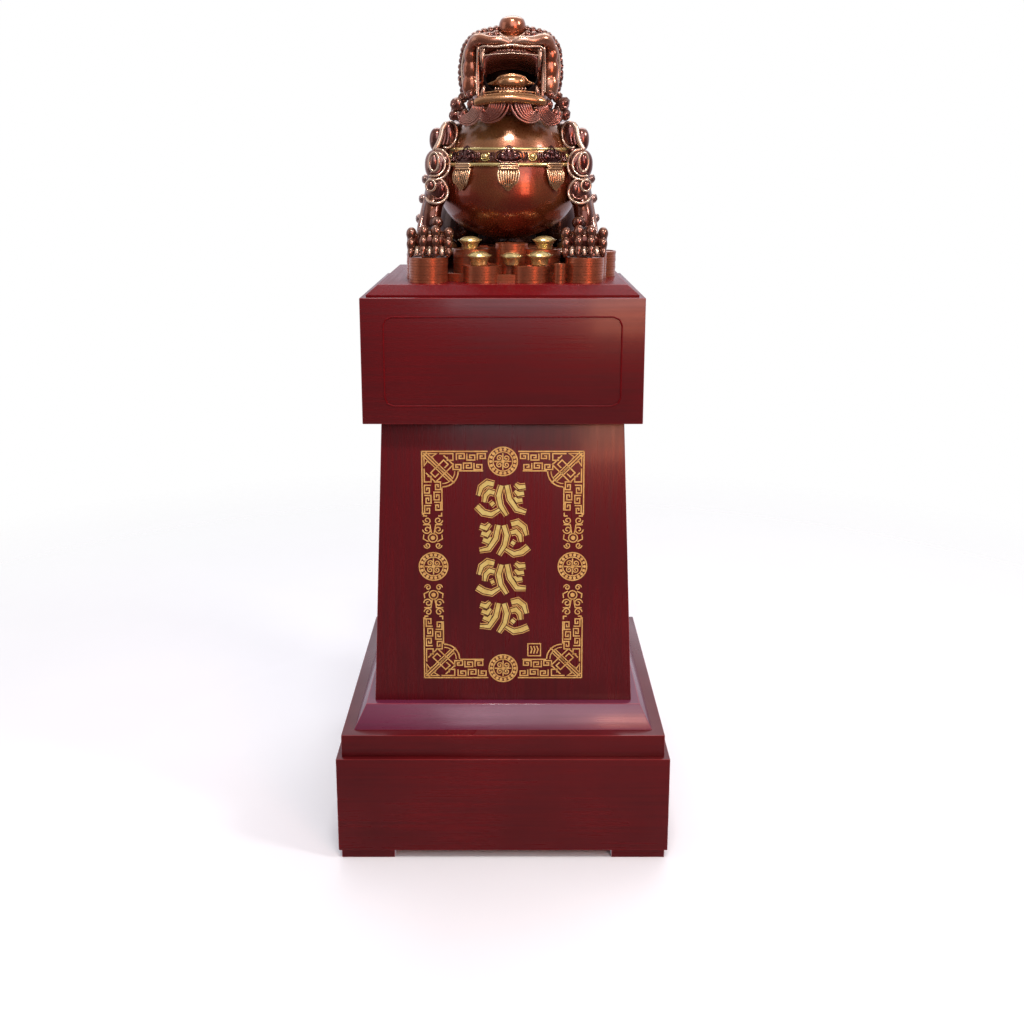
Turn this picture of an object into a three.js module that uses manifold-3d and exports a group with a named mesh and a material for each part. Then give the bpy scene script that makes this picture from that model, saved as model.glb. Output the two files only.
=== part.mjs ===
// Seated pixiu in bronze on a heap of coins and ingots, standing on a lacquered wooden plinth.
// Millimetres, Z up, origin at the centre of the underside of the feet, the beast faces -Y.
import * as THREE from "three";
import { mergeVertices } from "three/addons/utils/BufferGeometryUtils.js";
import Module from "manifold-3d";

const wasm = await Module();
wasm.setup();

const model = new THREE.Group();
const SIDES = ["front", "right", "back", "left"];

// Sizes of the whole piece and of the plinth
const height = 1500;
const width = 600;
const board = 20;
const footHeight = 17;
const footSize = 97;
const footInset = 5;
const baseHeight = 181;
const stepHeight = 42;
const splayHeight = 42;
const shaftHeight = 518;
const capHeight = 218;
const deckHeight = 20;
const deckLip = 4;

// How far each tier stands in from, or out over, the one below, on every side
const stepLedge = 9.5;
const splayLedge = 20.5;
const splayRun = 21.5;
const shaftLedge = 14.5;
const shaftRun = 21;
const capOverhang = 29.5;
const deckLedge = 10;
const deckRun = 19;
const floorFit = 0.5;

const baseTop = footHeight + baseHeight;
const stepTop = baseTop + stepHeight;
const splayTop = stepTop + splayHeight;
const shaftTop = splayTop + shaftHeight;
const capTop = shaftTop + capHeight;
const deckTop = capTop + deckHeight;
const stepWidth = width - 2 * stepLedge;
const splayWidth = stepWidth - 2 * splayLedge;
const splayTopWidth = splayWidth - 2 * splayRun;
const shaftWidth = splayTopWidth - 2 * shaftLedge;
const shaftTopWidth = shaftWidth - 2 * shaftRun;
const capWidth = shaftTopWidth + 2 * capOverhang;
const deckWidth = capWidth - 2 * deckLedge;
const deckTopWidth = deckWidth - 2 * deckRun;

// Where the bronze stands on the deck, and how it leans to its left
const figureX = 6;
const figureLean = 0.022;
const figureHeight = height - deckTop;
const drawnHeight = 462;

// Shapes

const bronzeLook = new THREE.MeshStandardMaterial({ color: 0x6e371e, roughness: 0.3, metalness: 1 });
const lacquerLook = new THREE.MeshStandardMaterial({ color: 0x5a191c, roughness: 0.35, metalness: 0 });

function addMesh(name, geometry, look = lacquerLook) {
  const mesh = new THREE.Mesh(geometry, look);
  mesh.name = name;
  model.add(mesh);
}

// Moves every corner of a geometry by a function
function deform(geometry, move) {
  const at = geometry.attributes.position;
  const point = new THREE.Vector3();
  for (let i = 0; i < at.count; i++) {
    point.fromBufferAttribute(at, i);
    move(point);
    at.setXYZ(i, point.x, point.y, point.z);
  }
  return geometry;
}

function clean(geometry) {
  geometry.deleteAttribute("normal");
  geometry.deleteAttribute("uv");
  return mergeVertices(geometry, 1e-4);
}

function toSolid(geometry) {
  const welded = clean(geometry);
  return new wasm.Manifold(new wasm.Mesh({
    numProp: 3,
    vertProperties: Float32Array.from(welded.attributes.position.array),
    triVerts: Uint32Array.from(welded.index.array),
  }));
}

function toGeometry(solid) {
  const mesh = solid.getMesh();
  const geometry = new THREE.BufferGeometry();
  geometry.setAttribute("position", new THREE.Float32BufferAttribute(mesh.vertProperties, 3));
  geometry.setIndex(new THREE.Uint32BufferAttribute(mesh.triVerts, 1));
  return geometry;
}

// One side of a square frame with mitred ends, its outside and inside widths given below and above
function frameSide(turn, outer, inner, low, high) {
  const geometry = new THREE.BoxGeometry(1, 1, 1);
  deform(geometry, (point) => {
    const up = point.z + 0.5;
    const widths = point.y < 0 ? outer : inner;
    const half = THREE.MathUtils.lerp(widths[0], widths[1], up) / 2;
    point.set(Math.sign(point.x) * half, -half, THREE.MathUtils.lerp(low, high, up));
  });
  geometry.rotateZ(turn * Math.PI / 2);
  return clean(geometry);
}

function addFrame(name, outer, inner, low, high) {
  SIDES.forEach((side, turn) => addMesh(`${name}_${side}`, frameSide(turn, outer, inner, low, high)));
}

// Plinth: corner feet, base box, step rails, splayed mouldings, tapered shaft, cap box and deck

function addFeet() {
  const reach = width / 2 - footInset - footSize / 2;
  for (const x of [-1, 1]) {
    for (const y of [-1, 1]) {
      const foot = new THREE.BoxGeometry(footSize, footSize, footHeight);
      foot.translate(x * reach, y * reach, footHeight / 2);
      addMesh(`foot_${y < 0 ? "front" : "back"}_${x < 0 ? "left" : "right"}`, clean(foot));
    }
  }
}

// A square block, its widths given below and above
function squareBlock(lowWidth, highWidth, low, high) {
  const geometry = new THREE.BoxGeometry(1, 1, high - low);
  deform(geometry, (point) => {
    const side = point.z < 0 ? lowWidth : highWidth;
    point.set(point.x * side, point.y * side, point.z + (low + high) / 2);
  });
  return geometry;
}

function addPlinth() {
  const shaftInside = shaftWidth - 2 * board;
  addFeet();
  addFrame("base", [width, width], [width - 2 * board, width - 2 * board], footHeight, baseTop);
  addFrame("step", [stepWidth, stepWidth], [shaftInside, shaftInside], baseTop, stepTop);
  addFrame("splay", [splayWidth, splayTopWidth], [shaftInside, shaftInside], stepTop, splayTop);
  addFrame("shaft", [shaftWidth, shaftTopWidth], [shaftInside, shaftTopWidth - 2 * board], splayTop, shaftTop);
  addFrame("cap", [capWidth, capWidth], [capWidth - 2 * board, capWidth - 2 * board], shaftTop, capTop);
  const floorWidth = capWidth - 2 * board - 2 * floorFit;
  addMesh("cap_floor", clean(squareBlock(floorWidth, floorWidth, shaftTop, shaftTop + board)));
  const lip = toSolid(squareBlock(deckWidth, deckWidth, capTop, capTop + deckLip));
  const slope = toSolid(squareBlock(deckWidth, deckTopWidth, capTop + deckLip, deckTop));
  addMesh("deck", toGeometry(lip.add(slope)));
}

// Bronze: drawn above the deck at drawnHeight, with the beast's own middle at x = 0, then scaled to its height

// A ball stretched to three radii; the power above 2 makes it boxier
function lump(centre, radii, { power = 2, across = 10, along = 6 } = {}) {
  const geometry = new THREE.SphereGeometry(1, across, along);
  geometry.rotateX(Math.PI / 2);
  deform(geometry, (point) => {
    const reach = (Math.abs(point.x) ** power + Math.abs(point.y) ** power
      + Math.abs(point.z) ** power) ** (1 / power);
    point.divideScalar(reach);
    point.set(centre[0] + point.x * radii[0], centre[1] + point.y * radii[1], centre[2] + point.z * radii[2]);
  });
  return toSolid(geometry);
}

// A round bar along a path, its radius a function of the way along
function bar(path, radius, { sides = 6, steps = 4, flat = 1 } = {}) {
  const geometry = new THREE.CylinderGeometry(1, 1, 1, sides, steps);
  const reference = new THREE.Vector3(0.17, 0.23, 0.95).normalize();
  deform(geometry, (point) => {
    const along = point.y + 0.5;
    const centre = path(along);
    const ahead = path(Math.min(along + 0.01, 1)).sub(path(Math.max(along - 0.01, 0))).normalize();
    const side = new THREE.Vector3().crossVectors(ahead, reference).normalize();
    const up = new THREE.Vector3().crossVectors(side, ahead);
    const size = radius(along);
    point.copy(centre.addScaledVector(side, point.x * size).addScaledVector(up, point.z * size * flat));
  });
  return toSolid(geometry);
}

function curve(...points) {
  const spline = new THREE.CatmullRomCurve3(points.map((point) => new THREE.Vector3(...point)));
  return (along) => spline.getPoint(along);
}

// The flat spiral of a scroll, lying in the plane of two directions
function spiral(centre, right, up, size, turns, start) {
  return (along) => {
    const angle = start + along * turns * 2 * Math.PI;
    const reach = size * (1 - 0.72 * along);
    return new THREE.Vector3(...centre)
      .addScaledVector(right, reach * Math.cos(angle))
      .addScaledVector(up, reach * Math.sin(angle));
  };
}

const swell = (low, high) => (along) => low + (high - low) * Math.sin(Math.PI * along);
const taper = (first, last) => (along) => first + (last - first) * along;

// Heap of coin stacks and ingots

const pawX = 139;
const pawY = -160;
const coinRadius = 36;
const pawStack = 45;

function coinStack(x, y, radius, tall) {
  const geometry = new THREE.CylinderGeometry(radius, radius, tall + 2, radius > 12 ? 12 : 6);
  geometry.rotateX(Math.PI / 2);
  geometry.translate(x, y, tall / 2 - 1);
  return toSolid(geometry);
}

// A boat-shaped ingot: an oval dish with a dome standing in it
function ingot(x, y, z, length) {
  const boat = new THREE.SphereGeometry(1, 8, 4);
  boat.rotateX(Math.PI / 2);
  deform(boat, (point) => {
    const lift = 0.3 * point.x * point.x;
    point.set(x + point.x * length / 2, y + point.y * length / 3, z + (Math.min(point.z, 0.25) + lift) * length / 3);
  });
  return toSolid(boat).add(lump([x, y, z + length * 0.1], [length * 0.27, length * 0.24, length * 0.24],
    { across: 8, along: 4 }));
}

function heap() {
  const solids = [];
  const bed = coinStack(0, -8, 178, 20);
  solids.push(bed);
  for (const side of [-1, 1]) {
    solids.push(coinStack(side * pawX, pawY, coinRadius, pawStack));
    solids.push(coinStack(side * 152, -88, coinRadius, 49));
    solids.push(coinStack(side * 41, -162, coinRadius + 1, 31));
    solids.push(coinStack(side * 64, -128, coinRadius - 1, 54));
    solids.push(coinStack(side * 150, -12, coinRadius + 2, 36));
    solids.push(coinStack(side * 148, 66, coinRadius, 42));
    solids.push(coinStack(side * 104, 134, coinRadius, 34));
    solids.push(coinStack(side * 36, 158, coinRadius - 2, 28));
    solids.push(ingot(side * 64, -146, 64, 44));
  }
  solids.push(coinStack(2, -132, coinRadius - 6, 65));
  solids.push(coinStack(82, -183, 11, 31));
  for (const x of [-50, 6, 52]) {
    solids.push(ingot(x, -172, 38, 44));
  }
  return solids;
}

// Trunk: belly, back, haunches, shoulders, mane and skull as one surface round an upright axis

const bellyCentre = [0, -48, 150];
const bellyRadius = 122;
const bellyDepth = 112;
const bellyAbove = 165;
const bellyBelow = 82;
const beltLow = 200;
const beltHigh = 226;
const headCentre = [0, -66, 364];
const axisY = -36;

// How far a point is outside a stretched ball, less than nothing inside it
function outsideBall(x, y, z, ball) {
  const [cx, cy, cz, rx, ry, rz, power] = ball;
  const reach = (Math.abs((x - cx) / rx) ** power + Math.abs((y - cy) / ry) ** power
    + Math.abs((z - cz) / rz) ** power) ** (1 / power);
  return (reach - 1) * Math.min(rx, ry, rz);
}

// Two distances as one, rounded over where they meet
function blend(first, second, round) {
  const share = THREE.MathUtils.clamp(0.5 + (second - first) / (2 * round), 0, 1);
  return THREE.MathUtils.lerp(second, first, share) - round * share * (1 - share);
}

// Curls of the mane in rows from the cheeks back over the nape
function maneCurls() {
  const curls = [];
  const rows = 4;
  const count = 9;
  for (let row = 0; row < rows; row++) {
    const y = -74 + 36 * row;
    const round = Math.sin(Math.PI * (row + 2.4) / (rows + 2.6));
    for (let i = 0; i < count; i++) {
      const angle = -0.62 + (Math.PI + 1.24) * (i + 0.5 * (row % 2)) / (count - 0.5);
      const x = (56 + 26 * round) * Math.cos(angle);
      const z = headCentre[2] - 4 + (44 + 22 * round) * Math.sin(angle);
      curls.push([x, y, z, 17, 19, 17, 2]);
    }
  }
  return curls;
}

function trunkBalls() {
  const balls = [
    [0, 92, 66, 96, 68, 78, 2],
    [0, 66, 150, 94, 82, 96, 2],
    [0, 18, 240, 90, 80, 92, 2],
    [0, -20, 312, 84, 78, 56, 2],
    [...headCentre, 76, 82, 72, 3],
    [0, -10, 356, 84, 66, 66, 2],
    [0, -106, 290, 80, 42, 20, 2.4],
  ];
  for (const side of [-1, 1]) {
    balls.push([side * 92, 76, 92, 50, 76, 74, 2]);
    balls.push([side * 106, -48, 206, 34, 62, 72, 2]);
    balls.push([side * 36, -96, 428, 24, 22, 12, 2]);
    balls.push([side * 66, -116, 372, 18, 24, 22, 2]);
    balls.push([side * 64, -118, 330, 14, 18, 16, 2]);
    balls.push([side * 84, -26, 414, 14, 18, 22, 2]);
    for (const step of [0, 1, 2]) {
      balls.push([side * (18 + 31 * step), -142 + 12 * step, 284 + 3 * step, 16, 15, 17, 2]);
      balls.push([side * (94 - 3 * step), -92 + 40 * step, 292 - 4 * step, 19, 22, 18, 2]);
    }
  }
  return [...balls, ...maneCurls(), ...tailLocks(), ...wingFeathers()];
}

// The tail turned up against the back, in locks that narrow upwards
function tailLocks() {
  const locks = [];
  for (const side of [-1, 0, 1]) {
    for (let step = 0; step < 5; step++) {
      const spread = side * 34 * Math.sin(0.5 + 0.45 * step);
      const size = 24 - 2.5 * step - 5 * Math.abs(side);
      locks.push([spread, 158 - 3 * step, 62 + 30 * step - 10 * Math.abs(side), size, size, size + 6, 2]);
    }
  }
  return locks;
}

// Wings folded along the flanks, three feathers on each
function wingFeathers() {
  const feathers = [];
  for (const side of [-1, 1]) {
    for (let row = 0; row < 3; row++) {
      for (let step = 0; step < 4; step++) {
        const y = -10 + 34 * step - 8 * row;
        const z = 244 - 30 * row + 5 * step;
        feathers.push([side * (104 - 8 * step), y, z, 24 - 2 * step, 28, 17 - step, 2]);
      }
    }
  }
  return feathers;
}

// How wide the belly is at a height, as a share of its widest
function bellyShare(z) {
  const rise = z - bellyCentre[2];
  const reach = rise / (rise > 0 ? bellyAbove : bellyBelow);
  return Math.sqrt(Math.max(0, 1 - reach * reach));
}

// A point on the belly, proud of it by some millimetres, at an angle from the front and a height
function onBelly(angle, z, proud) {
  const share = bellyShare(z);
  return new THREE.Vector3(
    (bellyRadius * share + proud) * Math.sin(angle),
    bellyCentre[1] - (bellyDepth * share + proud) * Math.cos(angle),
    z,
  );
}

// Heights of the surface's rows: even steps, with rows for both edges of each belt rail
function trunkRows(top) {
  const rows = [beltLow, beltHigh].flatMap((rail) => [rail - 4, rail - 2, rail + 2, rail + 4]);
  const step = 12;
  for (let z = 0; z < top; z += step) {
    if (z < beltLow - step || z > beltHigh + step / 2) {
      rows.push(z);
    }
  }
  rows.push((beltLow + beltHigh) / 2, top);
  return rows.sort((first, second) => first - second);
}

function trunk() {
  const balls = trunkBalls();
  const outside = (x, y, z) => {
    const lower = z < bellyCentre[2] ? bellyBelow : bellyAbove;
    let distance = outsideBall(x, y, z, [...bellyCentre, bellyRadius, bellyDepth, lower, 2]);
    const rail = Math.min(Math.abs(z - beltLow), Math.abs(z - beltHigh)) < 2.5 && y < 0 ? 3 : 0;
    distance -= rail;
    for (const ball of balls) {
      distance = blend(distance, outsideBall(x, y, z, ball), ball[3] < 20 ? 3 : 9);
    }
    return distance;
  };
  const rows = trunkRows(434);
  const columns = 40;
  const geometry = new THREE.CylinderGeometry(1, 1, 1, columns, rows.length - 1);
  geometry.rotateX(Math.PI / 2);
  return toSolid(deform(geometry, (point) => {
    const z = rows[Math.round((point.z + 0.5) * (rows.length - 1))];
    const inside = Math.hypot(point.x, point.y) < 0.5;
    const [dx, dy] = [point.x, point.y];
    let far = 260;
    while (!inside && far > 1 && outside(dx * far, axisY + dy * far, z) > 0) {
      far -= 1;
    }
    point.set(inside ? 0 : dx * far, inside ? axisY : axisY + dy * far, z);
  }));
}

// Medallions on the belt, each with a tassel under it

const medalTurn = 0.72;

function belt() {
  const solids = [];
  for (const turn of [-1, 0, 1]) {
    const angle = turn * medalTurn;
    const medal = onBelly(angle, (beltLow + beltHigh) / 2 + 1, 0).toArray();
    solids.push(lump(medal, [18, 9, 13], { across: 8, along: 5 }));
    const hang = onBelly(angle, beltLow - 4, 2);
    const tip = onBelly(angle, beltLow - 40, 3);
    const tassel = (along) => hang.clone().lerp(tip, along);
    solids.push(bar(tassel, (along) => 17 - 13 * along ** 3, { sides: 8, steps: 3, flat: 0.55 }));
  }
  return solids;
}

// Forelegs, shoulder scrolls and paws

const toeGap = 20;

// One toe: two knuckles and a claw, curving down over the edge of the paw
function toe(x, y, z, lean) {
  const path = curve([x, y + 10, z + 4], [x + lean, y - 6, z - 2], [x + lean * 3, y - 16, z - 20],
    [x + lean * 4, y - 20, z - 38]);
  const size = (along) => (11 - 7 * along ** 1.5) * (0.82 + 0.18 * Math.cos(along * 6 * Math.PI / 2 + 2.6));
  return bar(path, size, { sides: 6, steps: 7 });
}

function foreleg(side) {
  const solids = [];
  const arm = curve([side * 96, -34, 262], [side * 112, -62, 205], [side * 128, -104, 140], [side * pawX, -140, 66]);
  solids.push(bar(arm, (along) => 38 - 13 * along, { sides: 10, steps: 5 }));
  solids.push(lump([side * pawX, pawY + 8, 64], [36, 34, 26], { power: 3 }));
  for (const step of [-1.5, -0.5, 0.5, 1.5]) {
    const back = Math.abs(step) > 1 ? 8 : 0;
    solids.push(toe(side * pawX + step * toeGap, pawY - 14 + back, 84, step));
  }
  return solids;
}

function shoulderScrolls(side) {
  const solids = [];
  const outward = new THREE.Vector3(side * 0.8, -0.6, 0);
  const right = new THREE.Vector3(side * 0.6, 0.8, 0);
  const up = new THREE.Vector3(0, 0, 1);
  const places = [[112, -90, 252, 22], [126, -98, 204, 26], [128, -110, 160, 22]];
  for (const [x, y, z, size] of places) {
    const centre = [side * x, y, z];
    const disc = new THREE.Vector3(...centre).addScaledVector(outward, -5.3).toArray();
    solids.push(lump(disc, [size * 0.9, size * 0.9, size * 1.05], { across: 6, along: 4 }));
    const path = spiral(centre, right, up, size, 1.15, 1.33);
    solids.push(bar(path, taper(5.5, 4), { sides: 4, steps: 9 }));
  }
  for (const step of [0, 1, 2]) {
    solids.push(lump([side * (150 + 4 * step), -74 - 12 * step, 164 - 28 * step], [9, 12, 9],
      { across: 6, along: 4 }));
  }
  return solids;
}

// Head

function head() {
  const solids = [];
  const lipY = -144;
  const upperLip = curve([-66, lipY + 26, 384], [-58, lipY + 4, 404], [-26, lipY - 4, 402], [0, lipY - 6, 399],
    [26, lipY - 4, 402], [58, lipY + 4, 404], [66, lipY + 26, 384]);
  solids.push(bar(upperLip, swell(9, 12), { sides: 6, steps: 10 }));
  const lowerLip = curve([-60, lipY + 16, 300], [-40, lipY - 12, 308], [0, lipY - 18, 315],
    [40, lipY - 12, 308], [60, lipY + 16, 300]);
  solids.push(bar(lowerLip, () => 8.5, { sides: 6, steps: 6 }));
  solids.push(lump([0, -110, 312], [56, 44, 12], { power: 3 }));
  solids.push(lump([0, -122, 330], [26, 34, 9]));
  for (const side of [-1, 1]) {
    const corner = curve([side * 56, lipY, 396], [side * 58, lipY + 6, 352], [side * 55, lipY + 2, 312]);
    solids.push(bar(corner, swell(6, 7), { sides: 5, steps: 4 }));
    const fang = curve([side * 50, lipY + 4, 392], [side * 49, lipY - 1, 372], [side * 47, lipY - 2, 354]);
    solids.push(bar(fang, taper(5, 1.5), { sides: 5, steps: 2 }));
  }
  return solids;
}

// The round nose, the highest point of the whole piece
function nose() {
  const radius = 23;
  return lump([1, -104, drawnHeight - radius], [radius + 1, radius, radius], { across: 14, along: 8 });
}

function addBronze() {
  const mouth = lump([0, -150, 356], [50, 66, 37], { power: 5, across: 12, along: 6 });
  const solids = [trunk().subtract(mouth), ...heap(), ...belt(), ...head(), nose()];
  for (const side of [-1, 1]) {
    solids.push(...foreleg(side), ...shoulderScrolls(side));
  }
  const floor = toSolid(new THREE.BoxGeometry(width, width, 100).translate(0, 0, -50));
  const whole = solids.reduce((sum, solid) => sum.add(solid)).subtract(floor).asOriginal().setTolerance(0.1);
  const geometry = toGeometry(whole);
  const scale = figureHeight / drawnHeight;
  deform(geometry, (point) => {
    point.multiplyScalar(scale);
    point.set(point.x + figureX + figureLean * point.z, point.y, point.z + deckTop);
  });
  addMesh("bronze", geometry, bronzeLook);
}

addPlinth();
addBronze();

export default model;
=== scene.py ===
from math import cos, pi, sin, sqrt

import bmesh
import bpy
import numpy as np
from mathutils import Matrix, Vector


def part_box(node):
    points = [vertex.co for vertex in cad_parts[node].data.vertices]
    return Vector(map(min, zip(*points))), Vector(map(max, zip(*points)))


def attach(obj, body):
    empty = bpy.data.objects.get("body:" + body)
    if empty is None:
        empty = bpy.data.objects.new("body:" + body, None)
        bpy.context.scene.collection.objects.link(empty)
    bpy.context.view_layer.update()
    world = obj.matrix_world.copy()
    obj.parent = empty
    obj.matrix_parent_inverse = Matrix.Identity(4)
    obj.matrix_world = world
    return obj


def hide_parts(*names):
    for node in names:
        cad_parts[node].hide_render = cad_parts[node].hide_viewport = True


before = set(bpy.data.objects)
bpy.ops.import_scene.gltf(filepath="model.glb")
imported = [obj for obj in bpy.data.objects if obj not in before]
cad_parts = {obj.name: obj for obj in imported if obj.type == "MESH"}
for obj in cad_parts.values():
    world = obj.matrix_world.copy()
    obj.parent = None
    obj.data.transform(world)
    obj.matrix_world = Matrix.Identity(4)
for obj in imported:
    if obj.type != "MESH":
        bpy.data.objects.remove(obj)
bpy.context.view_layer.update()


# Studio: a pale floor fading into a white surround, soft boxes above, and the camera at the
# height of the cap box, tipped down a little. None of it is part of the figure.

scene = bpy.context.scene
scene.view_settings.view_transform = "Standard"
camera_place = (0.0134, -2.2673, 1.2364)
camera_tip = 0.2212
camera_shift = (0.0015, -0.0752)
floor_radius = 4
floor_fades = (0.8, 2.6)


def link(thing):
    scene.collection.objects.link(thing)
    return thing


camera = link(bpy.data.objects.new("camera", bpy.data.cameras.new("camera")))
camera.location = camera_place
camera.rotation_euler = (pi / 2 - camera_tip, 0, 0)
camera.data.sensor_width = 36
camera.data.lens = 42.13
camera.data.shift_x, camera.data.shift_y = camera_shift
scene.camera = camera


class Signal:
    """The output of a node, so that masks are written as plain arithmetic"""

    def __init__(self, socket):
        self.socket = socket

    def maths(self, operation, first, second, clamp=False):
        node = self.socket.id_data.nodes.new("ShaderNodeMath")
        node.operation = operation
        node.use_clamp = clamp
        feed(node.inputs[0], first)
        feed(node.inputs[1], second)
        return Signal(node.outputs[0])

    def __add__(self, other):
        return self.maths("ADD", self, other)

    def __radd__(self, other):
        return self.maths("ADD", other, self)

    def __sub__(self, other):
        return self.maths("SUBTRACT", self, other)

    def __rsub__(self, other):
        return self.maths("SUBTRACT", other, self)

    def __mul__(self, other):
        return self.maths("MULTIPLY", self, other)

    def __rmul__(self, other):
        return self.maths("MULTIPLY", other, self)

    def clipped(self):
        return self.maths("ADD", self, 0, clamp=True)


def feed(socket, value):
    if isinstance(value, Signal):
        socket.id_data.links.new(value.socket, socket)
    else:
        socket.default_value = value


def paint(red, green, blue):
    """A colour chart's red, green and blue as the light that a shader works with"""
    return (*[(part / 255) ** 2.2 for part in (red, green, blue)], 1)


class Look:
    """A material while it is mixed: a shader, and nodes given their settings and then their inputs"""

    def __init__(self, name, **constants):
        self.material = bpy.data.materials.new(name)
        self.material.use_nodes = True
        self.nodes = self.material.node_tree.nodes
        self.shader = self.nodes["Principled BSDF"]
        for label, value in constants.items():
            self.set(label, value)

    def add(self, kind, settings, inputs, output=0):
        node = self.nodes.new("ShaderNode" + kind)
        for label, value in settings.items():
            setattr(node, label, value)
        for label, value in inputs.items():
            feed(node.inputs[label], value)
        return Signal(node.outputs[output])

    def place(self, *scale):
        """Object coordinates, stretched"""
        here = self.add("TexCoord", {}, {}, "Object")
        return self.add("Mapping", {}, {"Vector": here, "Scale": scale})

    def noise(self, *scale, detail=3, rough=0.5):
        """Clouds so many to a metre each way, or one number for every way"""
        place = self.place(*(scale if len(scale) == 3 else scale * 3))
        return self.add("TexNoise", {}, {"Vector": place, "Scale": 1, "Detail": detail, "Roughness": rough})

    def steps(self, value, low, high, bottom=0, top=1):
        """A value spread from low..high to bottom..top, and held there outside it"""
        spread = {"Value": value, "From Min": low, "From Max": high, "To Min": bottom, "To Max": top}
        return self.add("MapRange", {}, spread)

    def part(self, vector, axis):
        return self.add("SeparateXYZ", {}, {"Vector": vector}, axis)

    def stored(self, name):
        return self.add("Attribute", {"attribute_name": name}, {}, "Fac")

    def mix(self, mask, first, second):
        return self.add("Mix", {"data_type": "RGBA"}, {0: mask, 6: first, 7: second}, 2)

    def bump(self, height, strength, depth):
        inputs = {"Height": height, "Strength": strength, "Distance": depth}
        self.set("Normal", self.add("Bump", {}, inputs))

    def set(self, label, value):
        feed(self.shader.inputs[label.replace("_", " ")], value)


floor_look = Look("floor", Roughness=0.85)
away = floor_look.add("VectorMath", {"operation": "LENGTH"}, {0: floor_look.place(1, 1, 1)}, "Value")
mottle = floor_look.mix(floor_look.noise(3), paint(238, 237, 236), paint(244, 243, 242))
floor_look.set("Base_Color", mottle)
floor_look.set("Alpha", floor_look.steps(away, *floor_fades, 1, 0))
sheet = bmesh.new()
bmesh.ops.create_circle(sheet, cap_ends=True, segments=96, radius=floor_radius)
floor_mesh = bpy.data.meshes.new("floor")
sheet.to_mesh(floor_mesh)
floor_mesh.materials.append(floor_look.material)
floor = link(bpy.data.objects.new("floor", floor_mesh))
floor.visible_glossy = False

surround = bpy.data.worlds.new("surround")
surround.use_nodes = True
air = surround.node_tree


def air_node(kind, **inputs):
    node = air.nodes.new("ShaderNode" + kind)
    for label, value in inputs.items():
        feed(node.inputs[label.replace("_", " ")], value)
    return node


def air_steps(axis, low, high, bottom, top):
    """Light that grows from bottom to top along one way through the surround"""
    value = Signal(ways.outputs[axis])
    node = air_node("MapRange", Value=value, From_Min=low, From_Max=high, To_Min=bottom, To_Max=top)
    return Signal(node.outputs[0])


ways = air_node("SeparateXYZ", Vector=Signal(air_node("TexCoord").outputs["Generated"]))
lit = air.nodes["Background"]
lit.inputs["Color"].default_value = (0.86, 0.84, 0.95, 1)
feed(lit.inputs["Strength"], air_steps("Y", -0.3, 0.6, 0.12, 0.8) + air_steps("Z", 0.25, 0.8, 0.0, 0.4))
seen = air_node("Background", Color=(1, 1, 1, 1), Strength=1.0)
either = air_node("MixShader")
feed(either.inputs[0], Signal(air_node("LightPath").outputs["Is Camera Ray"]))
feed(either.inputs[1], Signal(lit.outputs[0]))
feed(either.inputs[2], Signal(seen.outputs[0]))
feed(air.nodes["World Output"].inputs["Surface"], Signal(either.outputs[0]))
scene.world = surround


def soft_box(name, place, aim, size, power, tint=(1, 1, 1)):
    """A lamp of some width and height, turned to a height on the figure's axis"""
    lamp = link(bpy.data.objects.new(name, bpy.data.lights.new(name, "AREA")))
    lamp.data.shape = "RECTANGLE"
    lamp.data.size, lamp.data.size_y = size
    lamp.data.energy = power
    lamp.data.color = tint
    lamp.location = place
    lamp.rotation_euler = (Vector((0, 0, aim)) - Vector(place)).to_track_quat("-Z", "Y").to_euler()
    lamp.visible_camera = False


soft_box("box_front", (0.0, -1.63, 3.3), 1.1, (0.6, 0.3), 36)
soft_box("box_right", (2.3, -1.25, 2.7), 1.2, (0.5, 0.8), 32)
soft_box("box_glow", (1.25, -2.6, 1.45), 1.1, (0.7, 0.9), 15, (1, 0.34, 0.18))
soft_box("box_left", (-3.3, -0.7, 2.1), 0.9, (2.2, 2.6), 14)
soft_box("box_wide", (0.8, -3.8, 2.8), 0.8, (3.8, 2.2), 62, (0.95, 0.93, 1))
soft_box("box_top", (0.2, 1.7, 3.6), 0.8, (2.8, 1.8), 40)


# Plinth tiers: boards mitred into square boxes, stained dark red and sprayed with clear lacquer,
# their sharp edges eased. Every tier stands on the one below.

MM = 0.001
BOARD = 20
SIDES = ("front", "right", "back", "left")
shaft_run = 21
splay_run = 21.5
level = (5, 5, 190)
upright = (170, 170, 4)


def lacquer(name, light, dark, grain, gloss=1):
    look = Look(name, Specular_IOR_Level=0.42 * gloss, Coat_Roughness=0.12, Coat_IOR=1.45)
    streak = look.steps(look.noise(*grain, detail=5, rough=0.6), 0.38, 0.66)
    cloud = look.steps(look.noise(5, 5, 4), 0.35, 0.68)
    stain = look.mix(streak * 0.34 + cloud * 0.45, paint(*light), paint(*dark))
    # Lighter red along the middle of each bevel, by an amount that varies with the clouds
    lighter_edge = look.stored("edge") * look.steps(cloud, 0, 1, 0.75, 0.35)
    look.set("Base_Color", look.mix(lighter_edge, stain, paint(168, 52, 52)))
    look.set("Roughness", look.steps(streak + cloud, 0.2, 1.6, 0.24, 0.36))
    look.set("Coat_Weight", look.steps(cloud, 0, 1, 0.35 * gloss, 0.22 * gloss))
    look.bump(streak + look.noise(260, detail=2) * 0.6, 0.1, 0.0004)
    return look.material


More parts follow.
